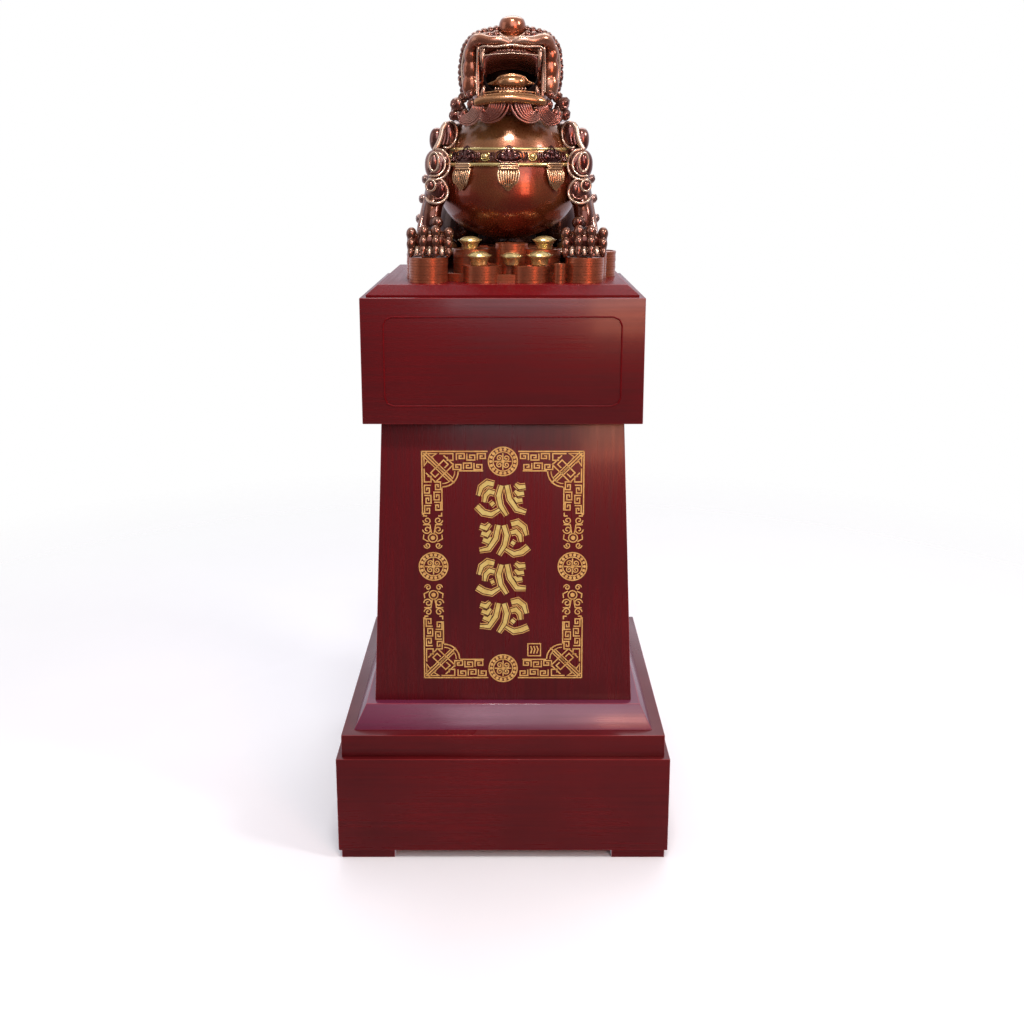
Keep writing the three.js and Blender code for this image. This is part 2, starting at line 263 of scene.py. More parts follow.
def ease(bm, size=1.4):
    """Bevels the sharp edges, and marks the middle of each bevel so that the colour can be lighter there"""
    bmesh.ops.recalc_face_normals(bm, faces=bm.faces)
    sharp = [edge for edge in bm.edges if edge.is_manifold and edge.calc_face_angle() > 0.3]
    strip = bmesh.ops.bevel(bm, geom=sharp, offset=size, affect="EDGES", segments=2, profile=0.5,
        material=-1)
    lighter_edge = bm.verts.layers.float.new("edge")
    new = set(strip["faces"])
    for vert in bm.verts:
        vert[lighter_edge] = float(all(face in new for face in vert.link_faces))


def finished(name, bm, *looks, slot="bronze", replaces=(), smooth=0.6):
    """Writes a shape drawn in millimetres as an object in metres that rides on the frame"""
    bmesh.ops.transform(bm, matrix=Matrix.Scale(MM, 4), verts=bm.verts)
    mesh = bpy.data.meshes.new(name)
    bm.to_mesh(mesh)
    bm.free()
    for look in looks:
        mesh.materials.append(look)
    mesh.shade_smooth()
    mesh.set_sharp_from_angle(angle=smooth)
    thing = link(bpy.data.objects.new(name, mesh))
    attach(thing, "root")
    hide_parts(*replaces)
    return thing


def turned(outline, steps, close=False, dist=0.01):
    """An outline of widths and heights spun round the upright axis, its faces outwards"""
    bm = bmesh.new()
    rim = [bm.verts.new((wide, across, z)) for wide, across, z in outline]
    pairs = list(zip(rim, rim[1:])) + [(rim[-1], rim[0])] * close
    chain = [bm.edges.new(pair) for pair in pairs]
    bmesh.ops.spin(bm, geom=rim + chain, cent=(0, 0, 0), axis=(0, 0, 1), angle=2 * pi, steps=steps,
        use_merge=True)
    bmesh.ops.remove_doubles(bm, verts=bm.verts, dist=dist)
    bmesh.ops.recalc_face_normals(bm, faces=bm.faces)
    return bm


def add_tier(name, look, run=0, inner=None):
    """A tier that draws in by run over its height, as wide and tall as its four boards"""
    low, high = (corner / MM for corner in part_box(f"{name}_front"))
    half = -low.x
    inside = inner or half - BOARD
    outline = [(half, low.z), (half - run, high.z), (inner or half - run - BOARD, high.z), (inside, low.z)]
    tier = turned([(wide, -wide, z) for wide, z in outline], 4, close=True)
    ease(tier)
    finished(name, tier, look, slot="lacquer", replaces=[f"{name}_{side}" for side in SIDES])
    return half, low.z, high.z


level_grain = lacquer("lacquer level grain", (99, 22, 25), (70, 15, 18), level)
upright_grain = lacquer("lacquer upright grain", (96, 22, 26), (66, 15, 19), upright)
# The splay's lacquer is painted mauve and glossier than the rest: the mauve is a painted reflection of the
# pale surround on its slope
slope_sheen_grain = lacquer("lacquer on the slope", (112, 44, 68), (88, 34, 56), level, 1.35)

shaft_half, shaft_low, shaft_high = add_tier("shaft", upright_grain, shaft_run)
inside = shaft_half - BOARD
add_tier("base", level_grain)
add_tier("step", level_grain, inner=inside)
add_tier("splay", slope_sheen_grain, splay_run, inner=inside)
cap_half, cap_low, cap_high = add_tier("cap", level_grain)
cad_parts["cap_floor"].data.materials.clear()
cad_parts["cap_floor"].data.materials.append(level_grain)


# Feet: four low wooden blocks, one glued under each corner of the base and lacquered with it, so
# that the plinth stands clear of the floor.

feet = bmesh.new()
corners = [f"foot_{end}_{side}" for end in ("front", "back") for side in ("left", "right")]
for corner in corners:
    low, high = (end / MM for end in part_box(corner))
    place = Matrix.Translation((low + high) / 2) @ Matrix.Diagonal((*(high - low), 1))
    bmesh.ops.create_cube(feet, size=1, matrix=place)
ease(feet)
finished("feet", feet, level_grain, slot="lacquer", replaces=corners)


# Deck: a low square board with a small upright lip and sloping edges, laid on the cap box and
# lacquered a brighter red. The bronze stands on it.

deck_low, deck_high = (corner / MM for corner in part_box("deck"))
deck_lip = 4
deck_run = 19
deck = bmesh.new()
bmesh.ops.create_grid(deck, x_segments=1, y_segments=1, size=-deck_low.x)
bmesh.ops.translate(deck, verts=deck.verts, vec=(0, 0, deck_low.z))
top = deck.faces[:]
for rise, draw in ((deck_lip, 0), (deck_high.z - deck_low.z - deck_lip, deck_run)):
    raised = bmesh.ops.extrude_face_region(deck, geom=top, use_keep_orig=rise == deck_lip)["geom"]
    top = [part for part in raised if isinstance(part, bmesh.types.BMFace)]
    share = 1 + draw / deck_low.x
    corner_verts = [part for part in raised if isinstance(part, bmesh.types.BMVert)]
    bmesh.ops.translate(deck, verts=corner_verts, vec=(0, 0, rise))
    bmesh.ops.scale(deck, verts=corner_verts, vec=(share, share, 1))
ease(deck, 1)
bright_grain = lacquer("lacquer deck", (110, 19, 24), (80, 14, 18), (190, 5, 190), 0.35)
finished("deck_board", deck, bright_grain, slot="lacquer", replaces=["deck"])


# Cap panel: a fine half-round bead planted round each side of the cap, its corners cut back, and
# lacquered with the deck.

bead = 1.5
panel_half = 203
panel_inset = 32
notch = 15


def pour(part, bm):
    """Adds a finished small shape to a larger one"""
    mesh = bpy.data.meshes.new("part")
    part.to_mesh(mesh)
    part.free()
    bm.from_mesh(mesh)
    bpy.data.meshes.remove(mesh)


def rod(bm, path, radius, sides=8, steps=20, flat=1, lay=None):
    """A bar along a path: a cylinder cut into even steps, bent and swelled; lay is its flat way"""
    bar = bmesh.new()
    bmesh.ops.create_cone(bar, cap_ends=True, cap_tris=True, segments=sides, radius1=1, radius2=1, depth=1)
    long = [edge for edge in bar.edges if abs(edge.verts[0].co.z - edge.verts[1].co.z) > 0.5]
    if steps > 1:
        bmesh.ops.subdivide_edges(bar, edges=long, cuts=steps - 1)
    centres = [Vector(path(i / steps)) for i in range(steps + 1)]
    frames = []
    side = Vector((0.17, 0.23, 0.95))
    for i, centre in enumerate(centres):
        ahead = (centres[min(i + 1, steps)] - centres[max(i - 1, 0)]).normalized()
        if lay is not None:
            side = ahead.cross(Vector(lay))
        side = (side - ahead * side.dot(ahead)).normalized()
        size = radius(i / steps) if callable(radius) else radius
        frames.append((centre, side * size, ahead.cross(side) * size * flat))
    for vert in bar.verts:
        centre, across, up = frames[round((vert.co.z + 0.5) * steps)]
        vert.co = centre + across * vert.co.x + up * vert.co.y
    pour(bar, bm)


def curve(*points):
    """A smooth path through some points, followed from 0 to 1"""
    points = [Vector(point) for point in points]
    last = len(points) - 1

    def at(share):
        i = min(int(share * last), last - 1)
        t = share * last - i
        a, b, c, d = (points[min(max(i + k, 0), last)] for k in (-1, 0, 1, 2))
        spot = 2 * b + (c - a) * t + (2 * a - 5 * b + 4 * c - d) * t ** 2
        return 0.5 * (spot + (3 * b - a - 3 * c + d) * t ** 3)

    return at


panel = bmesh.new()
middle = (cap_low + cap_high) / 2
tall = (cap_high - cap_low) / 2 - panel_inset
chamfer = notch * 0.3
cut_back = [(panel_half - notch, tall), (panel_half - chamfer, tall - chamfer), (panel_half, tall - notch)]
for turn in range(4):
    corners = []
    for x, z in ((-1, -1), (1, -1), (1, 1), (-1, 1)):
        order = cut_back if x * z < 0 else cut_back[::-1]
        corners += [Vector((x * across, -cap_half, middle + z * up)) for across, up in order]
    to_side = Matrix.Rotation(turn * pi / 2, 3, "Z")
    for i, corner in enumerate(corners):
        rod(panel, curve(to_side @ corners[i - 1], to_side @ corner), bead, 6, 1)
finished("cap_panel", panel, bright_grain, slot="lacquer")


# Gold frame on the shaft: key fret between two lines, lattice corners, scrolls and roundels, cut shallow
# into the front board and painted in gold; drawn here as gold strips standing 0.3 mm proud of the face.

gold_middle = 535.4
gold_wide = 144
gold_tall = 211
band = 37
stroke = 2.2
thin = 1.8
gold_high = 0.3
key_wide = 14
key_tall = 11.5
key_pitch = 18.5
key_start = 62
key = [(0, 1), (0, 0), (1, 0), (1, 0.76), (0.36, 0.76), (0.36, 0.36), (0.68, 0.36)]
lattice = [(-13, -11), (11, -11), (11, 11), (-7, 11), (-7, -5), (4, -5), (4, 4)]


def gold_paint(name, light, dark):
    look = Look(name, Metallic=0.35, Specular_IOR_Level=0.5)
    patch = look.steps(look.noise(90, detail=4), 0.38, 0.62)
    fleck = look.steps(look.noise(900, detail=2), 0.55, 0.7)
    look.set("Base_Color", look.mix((patch * 0.6 + fleck * 0.3).clipped(), paint(*light), paint(*dark)))
    look.set("Roughness", look.steps(patch, 0, 1, 0.38, 0.55))
    look.bump(patch + fleck, 0.2, 0.0002)
    return look.material


def ribbon(bm, points, width, high=gold_high):
    """A flat strip along points given as sideways and up, raised over the face"""
    points = [Vector(point) for point in points]
    ways = [(second - first).normalized() for first, second in zip(points, points[1:])]
    last = len(ways)
    grid = bmesh.ops.create_grid(bm, x_segments=last, y_segments=1, size=1)["verts"]
    for vert in grid:
        i = round((vert.co.x + 1) / 2 * last)
        before, after = ways[max(i - 1, 0)], ways[min(i, last - 1)]
        ahead = (before + after).normalized()
        side = Vector((-ahead.y, ahead.x)) / max(0.5, ahead.dot(after))
        wide = width(i / last) if callable(width) else width
        flat = points[i] + side * vert.co.y * wide / 2
        vert.co = (flat.x, 0, flat.y)
    faces = {face for vert in grid for face in vert.link_faces}
    raised = bmesh.ops.extrude_face_region(bm, geom=list(faces), use_keep_orig=True)["geom"]
    moved = [part for part in raised if isinstance(part, bmesh.types.BMVert)]
    bmesh.ops.translate(bm, verts=moved, vec=(0, high, 0))


def coil(x, y, radius, turns, start, inner=0.2, steps=20):
    """Points of a flat spiral running inwards"""
    points = []
    for i in range(steps + 1):
        angle = start + turns * 2 * pi * i / steps
        reach = radius * (1 - (1 - inner) * i / steps)
        points.append((x + reach * cos(angle), y + reach * sin(angle)))
    return points


def circle(x, y, radius, steps, turns=1):
    """Points of a flat circle, or of an arc that starts at its right side"""
    return coil(x, y, radius, turns, 0, 1, steps)


def disc(bm, x, z, radius, segments=12):
    place = Matrix.Translation((x, gold_high / 2, z)) @ Matrix.Rotation(pi / 2, 4, "X")
    bmesh.ops.create_cone(bm, cap_ends=True, segments=segments, radius1=radius, radius2=radius,
        depth=gold_high, matrix=place)


def on_face(bm):
    """Lays a drawing made flat at zero on the leaning front of the shaft"""
    slope = shaft_run / (shaft_high - shaft_low)
    back = -shaft_half - slope * shaft_low
    bmesh.ops.transform(bm, matrix=Matrix(((1, 0, 0, 0), (0, -1, slope, back), (0, 0, 1, 0), (0, 0, 0, 1))),
        verts=bm.verts)
    bmesh.ops.recalc_face_normals(bm, faces=bm.faces)


def corner_of_frame(side, end):
    """A quarter of the frame, every place given inwards from its corner, across and down"""

    def at(across, down):
        return side * (gold_wide - across), gold_middle + end * (gold_tall - down)

    def draw(points, width=stroke, swap=False):
        """A strip along the top of the frame, or swapped, along its side"""
        ribbon(fret, [at(*(point[::-1] if swap else point)) for point in points], width)

    for swap in (False, True):
        reach = 116 if swap else 117
        draw([(1, 1), (reach, 1)], swap=swap)
        draw([(66, band - 1), (reach - 8, band - 1)], swap=swap)
        for row in (0, 1):
            for i in range(3):
                start = key_start + key_pitch * i - 6 * row
                low = 5 + 17 * row
                flip = (i + row) % 2
                points = [(start + across * key_wide, low + abs(flip - up) * key_tall) for across, up in key]
                draw(points, swap=swap)
        draw([(7, 5), (27, 5), (18, 11), (22, 15)], swap=swap)
        draw([(32, 5), (56, 5), (56, 17), (46, 17), (46, 11)], swap=swap)
        draw([((x - y) * 0.707 + 41, (x + y) * 0.707 + 25) for x, y in lattice], swap=swap)
        draw([(8, 2), (56, 50)], thin, swap)
    draw([(4, 4), (58, 58)], 2.6)
    draw(circle(band, band, 28, 8, 0.25))
    draw(circle(band, band, 22, 8, 0.25), 1.6)
    middle = 19
    for across in (-1, 1):
        draw([(middle + across * 16, 112), (middle + across * 16, 118), (middle + across * 10, 118)])
        for down, size in ((126, 7.5), (143, 8), (172, 6)):
            draw(coil(middle + across * 10, down, size, across * 1.3, pi / 2 - across * pi / 2), 2)
        draw([(middle + across * 17, 134), (middle + across * 5, 134), (middle + across * 2, 152)], 2)
        draw([(middle + across * 16, 152), (middle + across * 17, 160), (middle + across * 8, 165)], 2)
    draw(circle(middle, 158, 8, 16), 2)
    disc(fret, *at(middle, 158), 4)


def roundel(x, z):
    """Two rings with beads between them round a cross with a scroll in every quarter"""
    ribbon(fret, circle(x, z, 25.6, 40), stroke)
    ribbon(fret, circle(x, z, 17.4, 32), thin)
    for place in circle(x, z, 21.5, 18)[:-1]:
        disc(fret, *place, 2.9, 8)
    for i in range(4):
        turn = pi / 4 + i * pi / 2
        ribbon(fret, coil(x + 8.6 * cos(turn), z + 8.6 * sin(turn), 6, 1.4, turn + pi, 0.15), 1.9)
        turn += pi / 4
        ribbon(fret, [(x + reach * cos(turn), z + reach * sin(turn)) for reach in (4, 15)], stroke)
    disc(fret, x, z, 3.4)


fret = bmesh.new()
for side in (-1, 1):
    for end in (-1, 1):
        corner_of_frame(side, end)
for x, z in ((0, gold_tall - 19), (0, 19 - gold_tall), (gold_wide - 19.5, 0), (19.5 - gold_wide, 0)):
    roundel(x, z + gold_middle)
on_face(fret)
gold_line = gold_paint("gold line", (242, 194, 116), (196, 142, 76))
finished("gold_frame", fret, gold_line)


# Gold strokes and seal: four groups of raised brush strokes one above the other, each stroke with
# a fine outline round it, and a small square mark under them, all in gold. They spell nothing.

bright_gold = gold_paint("bright gold", (236, 212, 128), (204, 166, 82))
# The band of lacquer between each stroke and its outline, painted darker as the strokes' shadow
stroke_shadow_lacquer = lacquer("lacquer round the strokes", (84, 20, 22), (60, 14, 18), upright)
first_group = 658
group_rise = 72.6
seal_x = 56.5
seal_z = 378.7
seal_half = 11.5


def brush(first, last, extra=0.0):
    """How wide a brush stroke is from its start to its end"""
    return lambda share: extra + first + (last - first) * share + 1.8 * sin(pi * share)


outlines = bmesh.new()
gaps = bmesh.new()
strokes = bmesh.new()
for row in range(4):
    middle = first_group - group_rise * row
    hand = 1 if row % 2 else -1
    marks = [
        ([(-46, -18 + 2 * row), (-28, -14), (-14, 2), (-8, 24)], 4, 7),
        ([(2, 23), (8, 6), (4, -10), (-8, -25)], 7, 4.5),
        ([(6, -16), (22, -25), (38, -23), (51, -13 - 2 * row)], 4, 8),
        ([(17, 24), (30, 26), (42, 18), (47, 4)], 7.5, 4.5),
        ([(16, 10), (26, 12), (34, 5), (36, -6)], 6.5, 4),
    ]
    for i in range(3):
        high = 24 - 11 * i
        dash = [(-45 + 3 * i, high), (-33 + 2 * i, high - 2 - row % 2 * 2), (-25 + i, high + 3)]
        marks.append((dash, 6.5, 4))
    marks.append(([(17, -5), (24, -10 + row % 3)], 6, 6.5))
    for points, first, last in marks:
        placed = [(hand * x * 0.9 - 0.5, middle + y * 1.12 + x * 0.06) for x, y in points]
        ribbon(outlines, placed, brush(first, last, 6.2), 0.15)
        # gaps: the band painted darker as shadow between stroke and outline
        ribbon(gaps, placed, brush(first, last, 3.4), 0.24)
        ribbon(strokes, placed, brush(first, last), 0.36)

square = [(-1, -1), (1, -1), (1, 1), (-1, 1), (-1, -1)]
ribbon(outlines, [(seal_x + seal_half * x, seal_z + seal_half * z) for x, z in square], 2)
for i in range(3):
    x = seal_x - 5.5 + 5.5 * i
    ribbon(outlines, [(x - 1, seal_z + 7), (x + 1.5, seal_z + 1), (x - 1, seal_z - 7)], 2.4)
for drawing in (outlines, gaps, strokes):
    on_face(drawing)
finished("stroke_outlines", outlines, gold_line)
finished("stroke_gaps", gaps, stroke_shadow_lacquer, slot="lacquer")
finished("strokes", strokes, bright_gold)


# Bronze: cast in one, coloured red-brown and lacquered glossy; high edges are rubbed to pale gold
# and the hollows stay almost black. It is drawn above the deck, the beast's middle at x = 0.

figure_x = 6
figure_lean = 0.022
# Olive colour: mottled at random, and laid on faces turned up as a painted sheen of the light from above
olive_mottle_and_sheen = (146, 114, 66)


def bronze(name, face, edge, hollow_and_shade, olive=0.35, rough=(0.2, 0.32), metal=0.82, rub=(0.25, 0.9), shade=0.85):
    """Red-brown bronze: olive mottled at random, and lighter olive and less metallic where it faces up as a
    painted sheen of the light above; edge where it is raised and rubbed; dark where it lies deep, and dark
    as painted shade on front faces set back from the front of the figure
    """
    look = Look(name, Specular_IOR_Level=0.6, Coat_Weight=0.5, Coat_Roughness=0.09, Coat_IOR=1.5)
    raised = look.stored("raised")
    facing = look.add("NewGeometry", {}, {}, "Normal")
    # Faces turned up are painted lighter olive and made less metallic: a painted sheen of the light from
    # above
    upward_sheen = look.steps(look.part(facing, "Z"), 0.22, 0.74)
    # Front faces set back from the front of the figure are painted the dark colour, by the amount shade:
    # painted shade
    forward = look.steps(look.part(facing, "Y"), -0.15, -0.6)
    set_back = look.steps(look.part(look.place(1, 1, 1), "Y"), -0.075, -0.015)
    cloud = look.steps(look.noise(14, detail=4), 0.4, 0.66)
    speck = look.steps(look.noise(240, detail=4), 0.4, 0.66)
    rubbed = look.steps(raised + (cloud - 0.5) * 0.2, *rub)
    deep = look.steps(raised + (speck - 0.5) * 0.1, 0.0, -0.34)
    skin = look.mix((cloud * 0.4 + upward_sheen).clipped() * olive, paint(*face), paint(*olive_mottle_and_sheen))
    skin = look.mix(speck * 0.14, skin, paint(*hollow_and_shade))
    skin = look.mix(rubbed, skin, paint(*edge))
    look.set("Base_Color", look.mix((deep + forward * set_back * shade).clipped(), skin, paint(*hollow_and_shade)))
    look.set("Roughness", look.steps(speck + rubbed * 0.4, 0, 1.4, *rough))
    look.set("Metallic", look.steps(upward_sheen, 0, 1, metal, metal - 0.6 * olive))
    look.bump(speck, 0.02, 0.0003)
    return look.material


def listed(parts, label, width, kind=float):
    """One value, width numbers long, of every corner or edge of a mesh"""
    values = np.empty(len(parts) * width, dtype=kind)
    parts.foreach_get(label, values)
    return values.reshape(-1, width)


def mark_relief(mesh, fine, broad, spread):
    """Stores how far each corner stands out of the smoothed surface round it, from -1 to 1"""
    count = len(mesh.vertices)
    points = listed(mesh.vertices, "co", 3)
    facing = listed(mesh.vertex_normals, "vector", 3)
    first, second = listed(mesh.edges, "vertices", 2, int).T
    ways = np.maximum(np.bincount(first, minlength=count) + np.bincount(second, minlength=count), 1)
    length = np.linalg.norm(points[first] - points[second], axis=1).mean()
    soft = points.copy()
    total = np.zeros(count)
    for turn in range(1, broad + 1):
        for axis in range(3):
            around = np.bincount(first, soft[second, axis], count)
            around += np.bincount(second, soft[first, axis], count)
            soft[:, axis] = (soft[:, axis] + around / ways) / 2
        if turn in (fine, broad):
            rise = ((points - soft) * facing).sum(axis=1)
            total += np.clip(rise / (length * spread * sqrt(turn / fine)), -1, 1) * 0.6
    layer = mesh.attributes.new("raised", "FLOAT", "POINT")
    layer.data.foreach_set("value", np.clip(total, -1, 1))


def cast(name, bm, *looks, relief=(2, 8, 3.0), replaces=(), smooth=1.2):
    """Finishes a piece of the bronze: stands it on the deck and marks what is raised and what is sunk"""
    stand = Matrix(((1, 0, figure_lean, figure_x), (0, 1, 0, 0), (0, 0, 1, deck_high.z), (0, 0, 0, 1)))
    bmesh.ops.transform(bm, matrix=stand, verts=bm.verts)
    thing = finished(name, bm, *looks, replaces=replaces, smooth=smooth)
    mark_relief(thing.data, *relief)


def ball(bm, centre, radii, power=2, turn=None, across=24, along=16):
    """A ball stretched to three radii; a power above 2 makes it boxier"""
    part = bmesh.new()
    bmesh.ops.create_uvsphere(part, u_segments=across, v_segments=along, radius=1)
    if power != 2:
        for vert in part.verts:
            vert.co /= sum(abs(share) ** power for share in vert.co) ** (1 / power)
    size = Matrix.Diagonal((*(radii if hasattr(radii, "__len__") else (radii,) * 3), 1))
    place = Matrix.Translation(centre) @ (turn or Matrix()) @ size
    bmesh.ops.transform(part, matrix=place, verts=part.verts)
    pour(part, bm)


def taper(first, last, power=1):
    return lambda share: first + (last - first) * share ** power


def rounded(size, ends=0.2, last=None):
    """A bar's radius, drawn in to a round point at both ends"""

    def radius(share):
        start = min(1, share / ends)
        stop = min(1, (1 - share) / ends)
        wide = size if last is None else size + (last - size) * share
        return wide * sqrt(max(0.02, start * (2 - start) * stop * (2 - stop)))

    return radius


def sided(side, *points):
    """A curve through points of the side that is asked for, given for the side where x is positive"""
    return curve(*[(side * x, y, z) for x, y, z in points])


def mirrored(*half):
    """A curve from side to side, through points given from the middle outwards"""
    return curve(*[(-x, y, z) for x, y, z in half[:0:-1]], *half)


def object_of(bm, name):
    """A shape as a loose object, for the tools that work on objects only"""
    mesh = bpy.data.meshes.new(name)
    bm.to_mesh(mesh)
    bm.free()
    return link(bpy.data.objects.new(name, mesh))


def modelled(bm, voxel, soften=4, cut=None):
    """Joins overlapping lumps into one skin, as clay is worked together, and smooths it; cut is dug out"""
    clay = object_of(bm, "clay")
    spare = [clay]

    def join():
        skin = clay.modifiers.new("join", "REMESH")
        skin.mode = "VOXEL"
        skin.voxel_size = voxel

    join()
    if cut:
        spare.append(object_of(cut, "tool"))
        dig = clay.modifiers.new("dig", "BOOLEAN")
        dig.operation = "DIFFERENCE"
        dig.object = spare[1]
        join()
    softer = clay.modifiers.new("soften", "SMOOTH")
    softer.factor = 0.5
    softer.iterations = soften
    skin = bmesh.new()
    ready = clay.evaluated_get(bpy.context.evaluated_depsgraph_get())
    skin.from_mesh(ready.to_mesh())
    ready.to_mesh_clear()
    for thing in spare:
        data = thing.data
        bpy.data.objects.remove(thing)
        bpy.data.meshes.remove(data)
    return skin


# Body: the round belly, back, rump and haunches of the seated beast, modelled as one smooth skin,
# and the forelegs with their shoulders as a second one that grows out of it. All are one casting.

belly = Vector((0, -48, 150))
belly_radii = Vector((122, 112, 165))
belly_below = 82
haunch = Vector((90, 84, 88))
haunch_radii = Vector((50, 72, 70))
spine = curve((0, 76, 84), (0, 70, 150), (0, 26, 240), (0, -16, 306))
paw_x = 134


def girth(share):
    """How thick the back is from rump to neck"""
    return 86 - 21 * share ** 2


body = bmesh.new()
ball(body, (0, 0, 0), belly_radii, across=64, along=48)
for vert in body.verts:
    if vert.co.z < 0:
        vert.co.z *= belly_below / belly_radii.z
    vert.co += belly
for centre, radii in (((0, 92, 66), (96, 68, 78)), ((0, -20, 312), (74, 68, 46)),
        ((0, -80, 296), (62, 40, 14))):
    ball(body, centre, radii, across=40, along=28)
rod(body, spine, girth, 48, 24)
forelegs = bmesh.new()
for side in (-1, 1):
    ball(body, (side * haunch.x, haunch.y, haunch.z), haunch_radii, across=40, along=28)
    ball(body, (side * 116, -4, 44), (25, 40, 17), 2.5)
    for i in range(4):
        toe = (side * (98 + 12 * i), -38 + 3 * i, 46 - 2 * abs(i - 1.5))
        ball(body, toe, (7, 12, 8), across=12, along=8)
    ball(forelegs, (side * 98, -34, 212), (34, 58, 66), across=40, along=28)
    arm = sided(side, (94, -30, 262), (112, -62, 205), (127, -96, 150), (paw_x, -116, 116), (135, -122, 84))
    rod(forelegs, arm, lambda share: (38 - 21 * min(1, share * 1.6)) * min(1, 0.4 + 4 * share), 24, 24)
    ball(forelegs, (side * paw_x, -146, 68), (36, 28, 22), 2.6)
    ball(forelegs, (side * 123, -142, 101), 11)
body_bronze = bronze("bronze of the body", (128, 50, 31), (208, 160, 130), (28, 11, 9), 0.7, (0.26, 0.36),
    0.7)
cast("body", modelled(body, 2.9, 7), body_bronze, relief=(5, 160, 1.5), replaces=["bronze"])
# The forelegs take a darker copy of the body's bronze: the extra darkness is painted shade
shaded_leg_bronze = bronze("bronze of the forelegs", (92, 40, 29), (196, 156, 138), (28, 12, 11), 0.2)
cast("forelegs", modelled(forelegs, 2.2, 6), shaded_leg_bronze, relief=(5, 80, 1.5))


# Head: a broad skull thrown back, the mouth wide open under heavy lips, muscles bunched on the
# cheeks, bulging eyes behind the nose and ears laid back into the mane. Cast with the body.

lip_y = -148
mouth_middle = Vector((0, -150, 354))


def lips(side, *points):
    """A curve round the mouth, its points given outwards, back from the front of the lips, and up"""
    return sided(side, *[(x, lip_y + back, z) for x, back, z in points])


# Throat: a matt near-black surface deep in the open mouth, painted shade in place of bronze
throat_shade = Look("bronze throat", Roughness=0.6, Specular_IOR_Level=0.2)
throat_shade.set("Base_Color", throat_shade.mix(throat_shade.noise(90), paint(16, 7, 6), paint(34, 14, 11)))
head_bronze = bronze("bronze of the head", (164, 96, 70), (230, 198, 174), (36, 17, 14), 0.4, rub=(0.1, 0.8))
head = bmesh.new()
ball(head, (0, -52, 352), (74, 76, 66), 2.6, across=40, along=28)
ball(head, (0, -112, 309), (60, 40, 10), 3)
ball(head, (0, -98, 394), (66, 48, 15), 2.8)
for side in (-1, 1):
    lobe = lips(side, (2, -2, 399), (18, -3, 404), (37, 0, 403.5), (54, 8, 407), (63, 17, 403),
        (68, 28, 390), (70, 34, 374))
    rod(head, lobe, lambda share: 6 + 4.2 * min(1, share * 1.8), 16, 32)
    rod(head, lambda share: lobe(share * 0.72) + Vector((0, 5, -5)), 6, 12, 20)
    outwards = Matrix.Rotation(side * 0.3, 4, "Z")
    for z, y, tall, wide in ((383, -119, 15, 12), (360, -117, 19, 14), (333, -118, 19, 15)):
        ball(head, (side * 68.5, y, z), (wide, 13, tall), 2.3, outwards)
    rod(head, sided(side, (69, -108, 390), (74, -100, 360), (69, -104, 318)), 10, 14, 16)
    rod(head, lips(side, (56, 6, 394), (56, 9, 352), (55, 5, 312)), 3.4, 12, 12)
    ear = sided(side, (66, -34, 398), (78, -22, 406), (84, -2, 412))
    rod(head, ear, rounded(12, 0.5), 14, 10, 0.5, (side, -0.4, 0.4))
    ball(head, (side * 32, -66, 412), (17, 18, 14))
ball(head, (0, -84, 408), (22, 30, 12))
mouth = bmesh.new()
ball(mouth, mouth_middle, (49, 32, 35), 5, across=32, along=20)
ball(mouth, (0, -112, 356), (46, 64, 34), 2.3, across=32, along=20)
head = modelled(head, 1.7, 4, modelled(mouth, 2, 2))
# Faces deep in the mouth take the throat's painted shade
for face in head.faces:
    place = face.calc_center_median() - mouth_middle
    face.material_index = int(abs(place.x) < 47 and -32 < place.z < 30 and place.y > 24)
cast("head", head, head_bronze, throat_shade.material, relief=(5, 50, 1.2))


# Nose: a polished round ball, flattened on top, set in a thin rim with a nostril on each side. It
# is the highest point of the whole piece.

nose_middle = Vector((1, -76, 433.5))
flat_above = 13
nose = bmesh.new()
ball(nose, nose_middle, (23.5, 23, 23.5), across=48, along=32)
for vert in nose.verts:
    over = vert.co.z - nose_middle.z - flat_above
    if over > 0:
        vert.co.z -= over * 0.42
rim = curve((-22, -82, 424), (-15, -100, 416), (1, -104, 412), (17, -100, 416), (24, -82, 424))
rod(nose, rim, rounded(3, 0.2), 12, 32)
for side in (-1, 1):
    rod(nose, lambda share: Vector((1 + side * (19 + 6 * cos(share * 5)), -94 + 5 * sin(share * 5), 414)),
        rounded(3.2, 0.3), 8, 14)
cast("nose", nose, head_bronze, relief=(3, 16, 3.0))


# Lower lip and tongue: a thick golden-brown roll along the jaw with two fine rolls of gum behind
# it, and the tongue arched up in the mouth. Cast with the head and rubbed brighter.

gold_bronze = bronze("bronze golden brown", (184, 128, 86), (238, 206, 162), (62, 30, 20), 0.3)
lower_lip = mirrored((0, lip_y - 14, 309.5), (22, lip_y - 12, 308.5), (44, lip_y - 7, 306),
    (61, lip_y + 2, 303))
lip = bmesh.new()
rod(lip, lower_lip, rounded(7.2, 0.07), 18, 48)
for rise, back, size in ((8.5, 3, 2.0), (13, 7, 1.7)):
    shift = Vector((0, back, rise))
    rod(lip, lambda share: lower_lip(0.06 + 0.88 * share) + shift, rounded(size, 0.1), 10, 40)
ball(lip, (2, -130, 337), (26, 19, 13), 2.2, across=32, along=20)
ball(lip, (0, -122, 335), (40, 20, 5))
tongue_edge = curve((-40, -136, 334), (-26, -139, 339), (-18, -140, 346), (2, -141, 350), (22, -140, 346),
    (30, -139, 339), (43, -136, 334))
rod(lip, tongue_edge, rounded(1.8, 0.15), 8, 48)
cast("lower_lip_and_tongue", modelled(lip, 1.3, 2), gold_bronze, relief=(4, 24, 1.4))


# Mouth rims: fine pale edges round the mouth, over both upper lobes and down the cheeks, chased
# sharp on the casting and rubbed to bare metal.

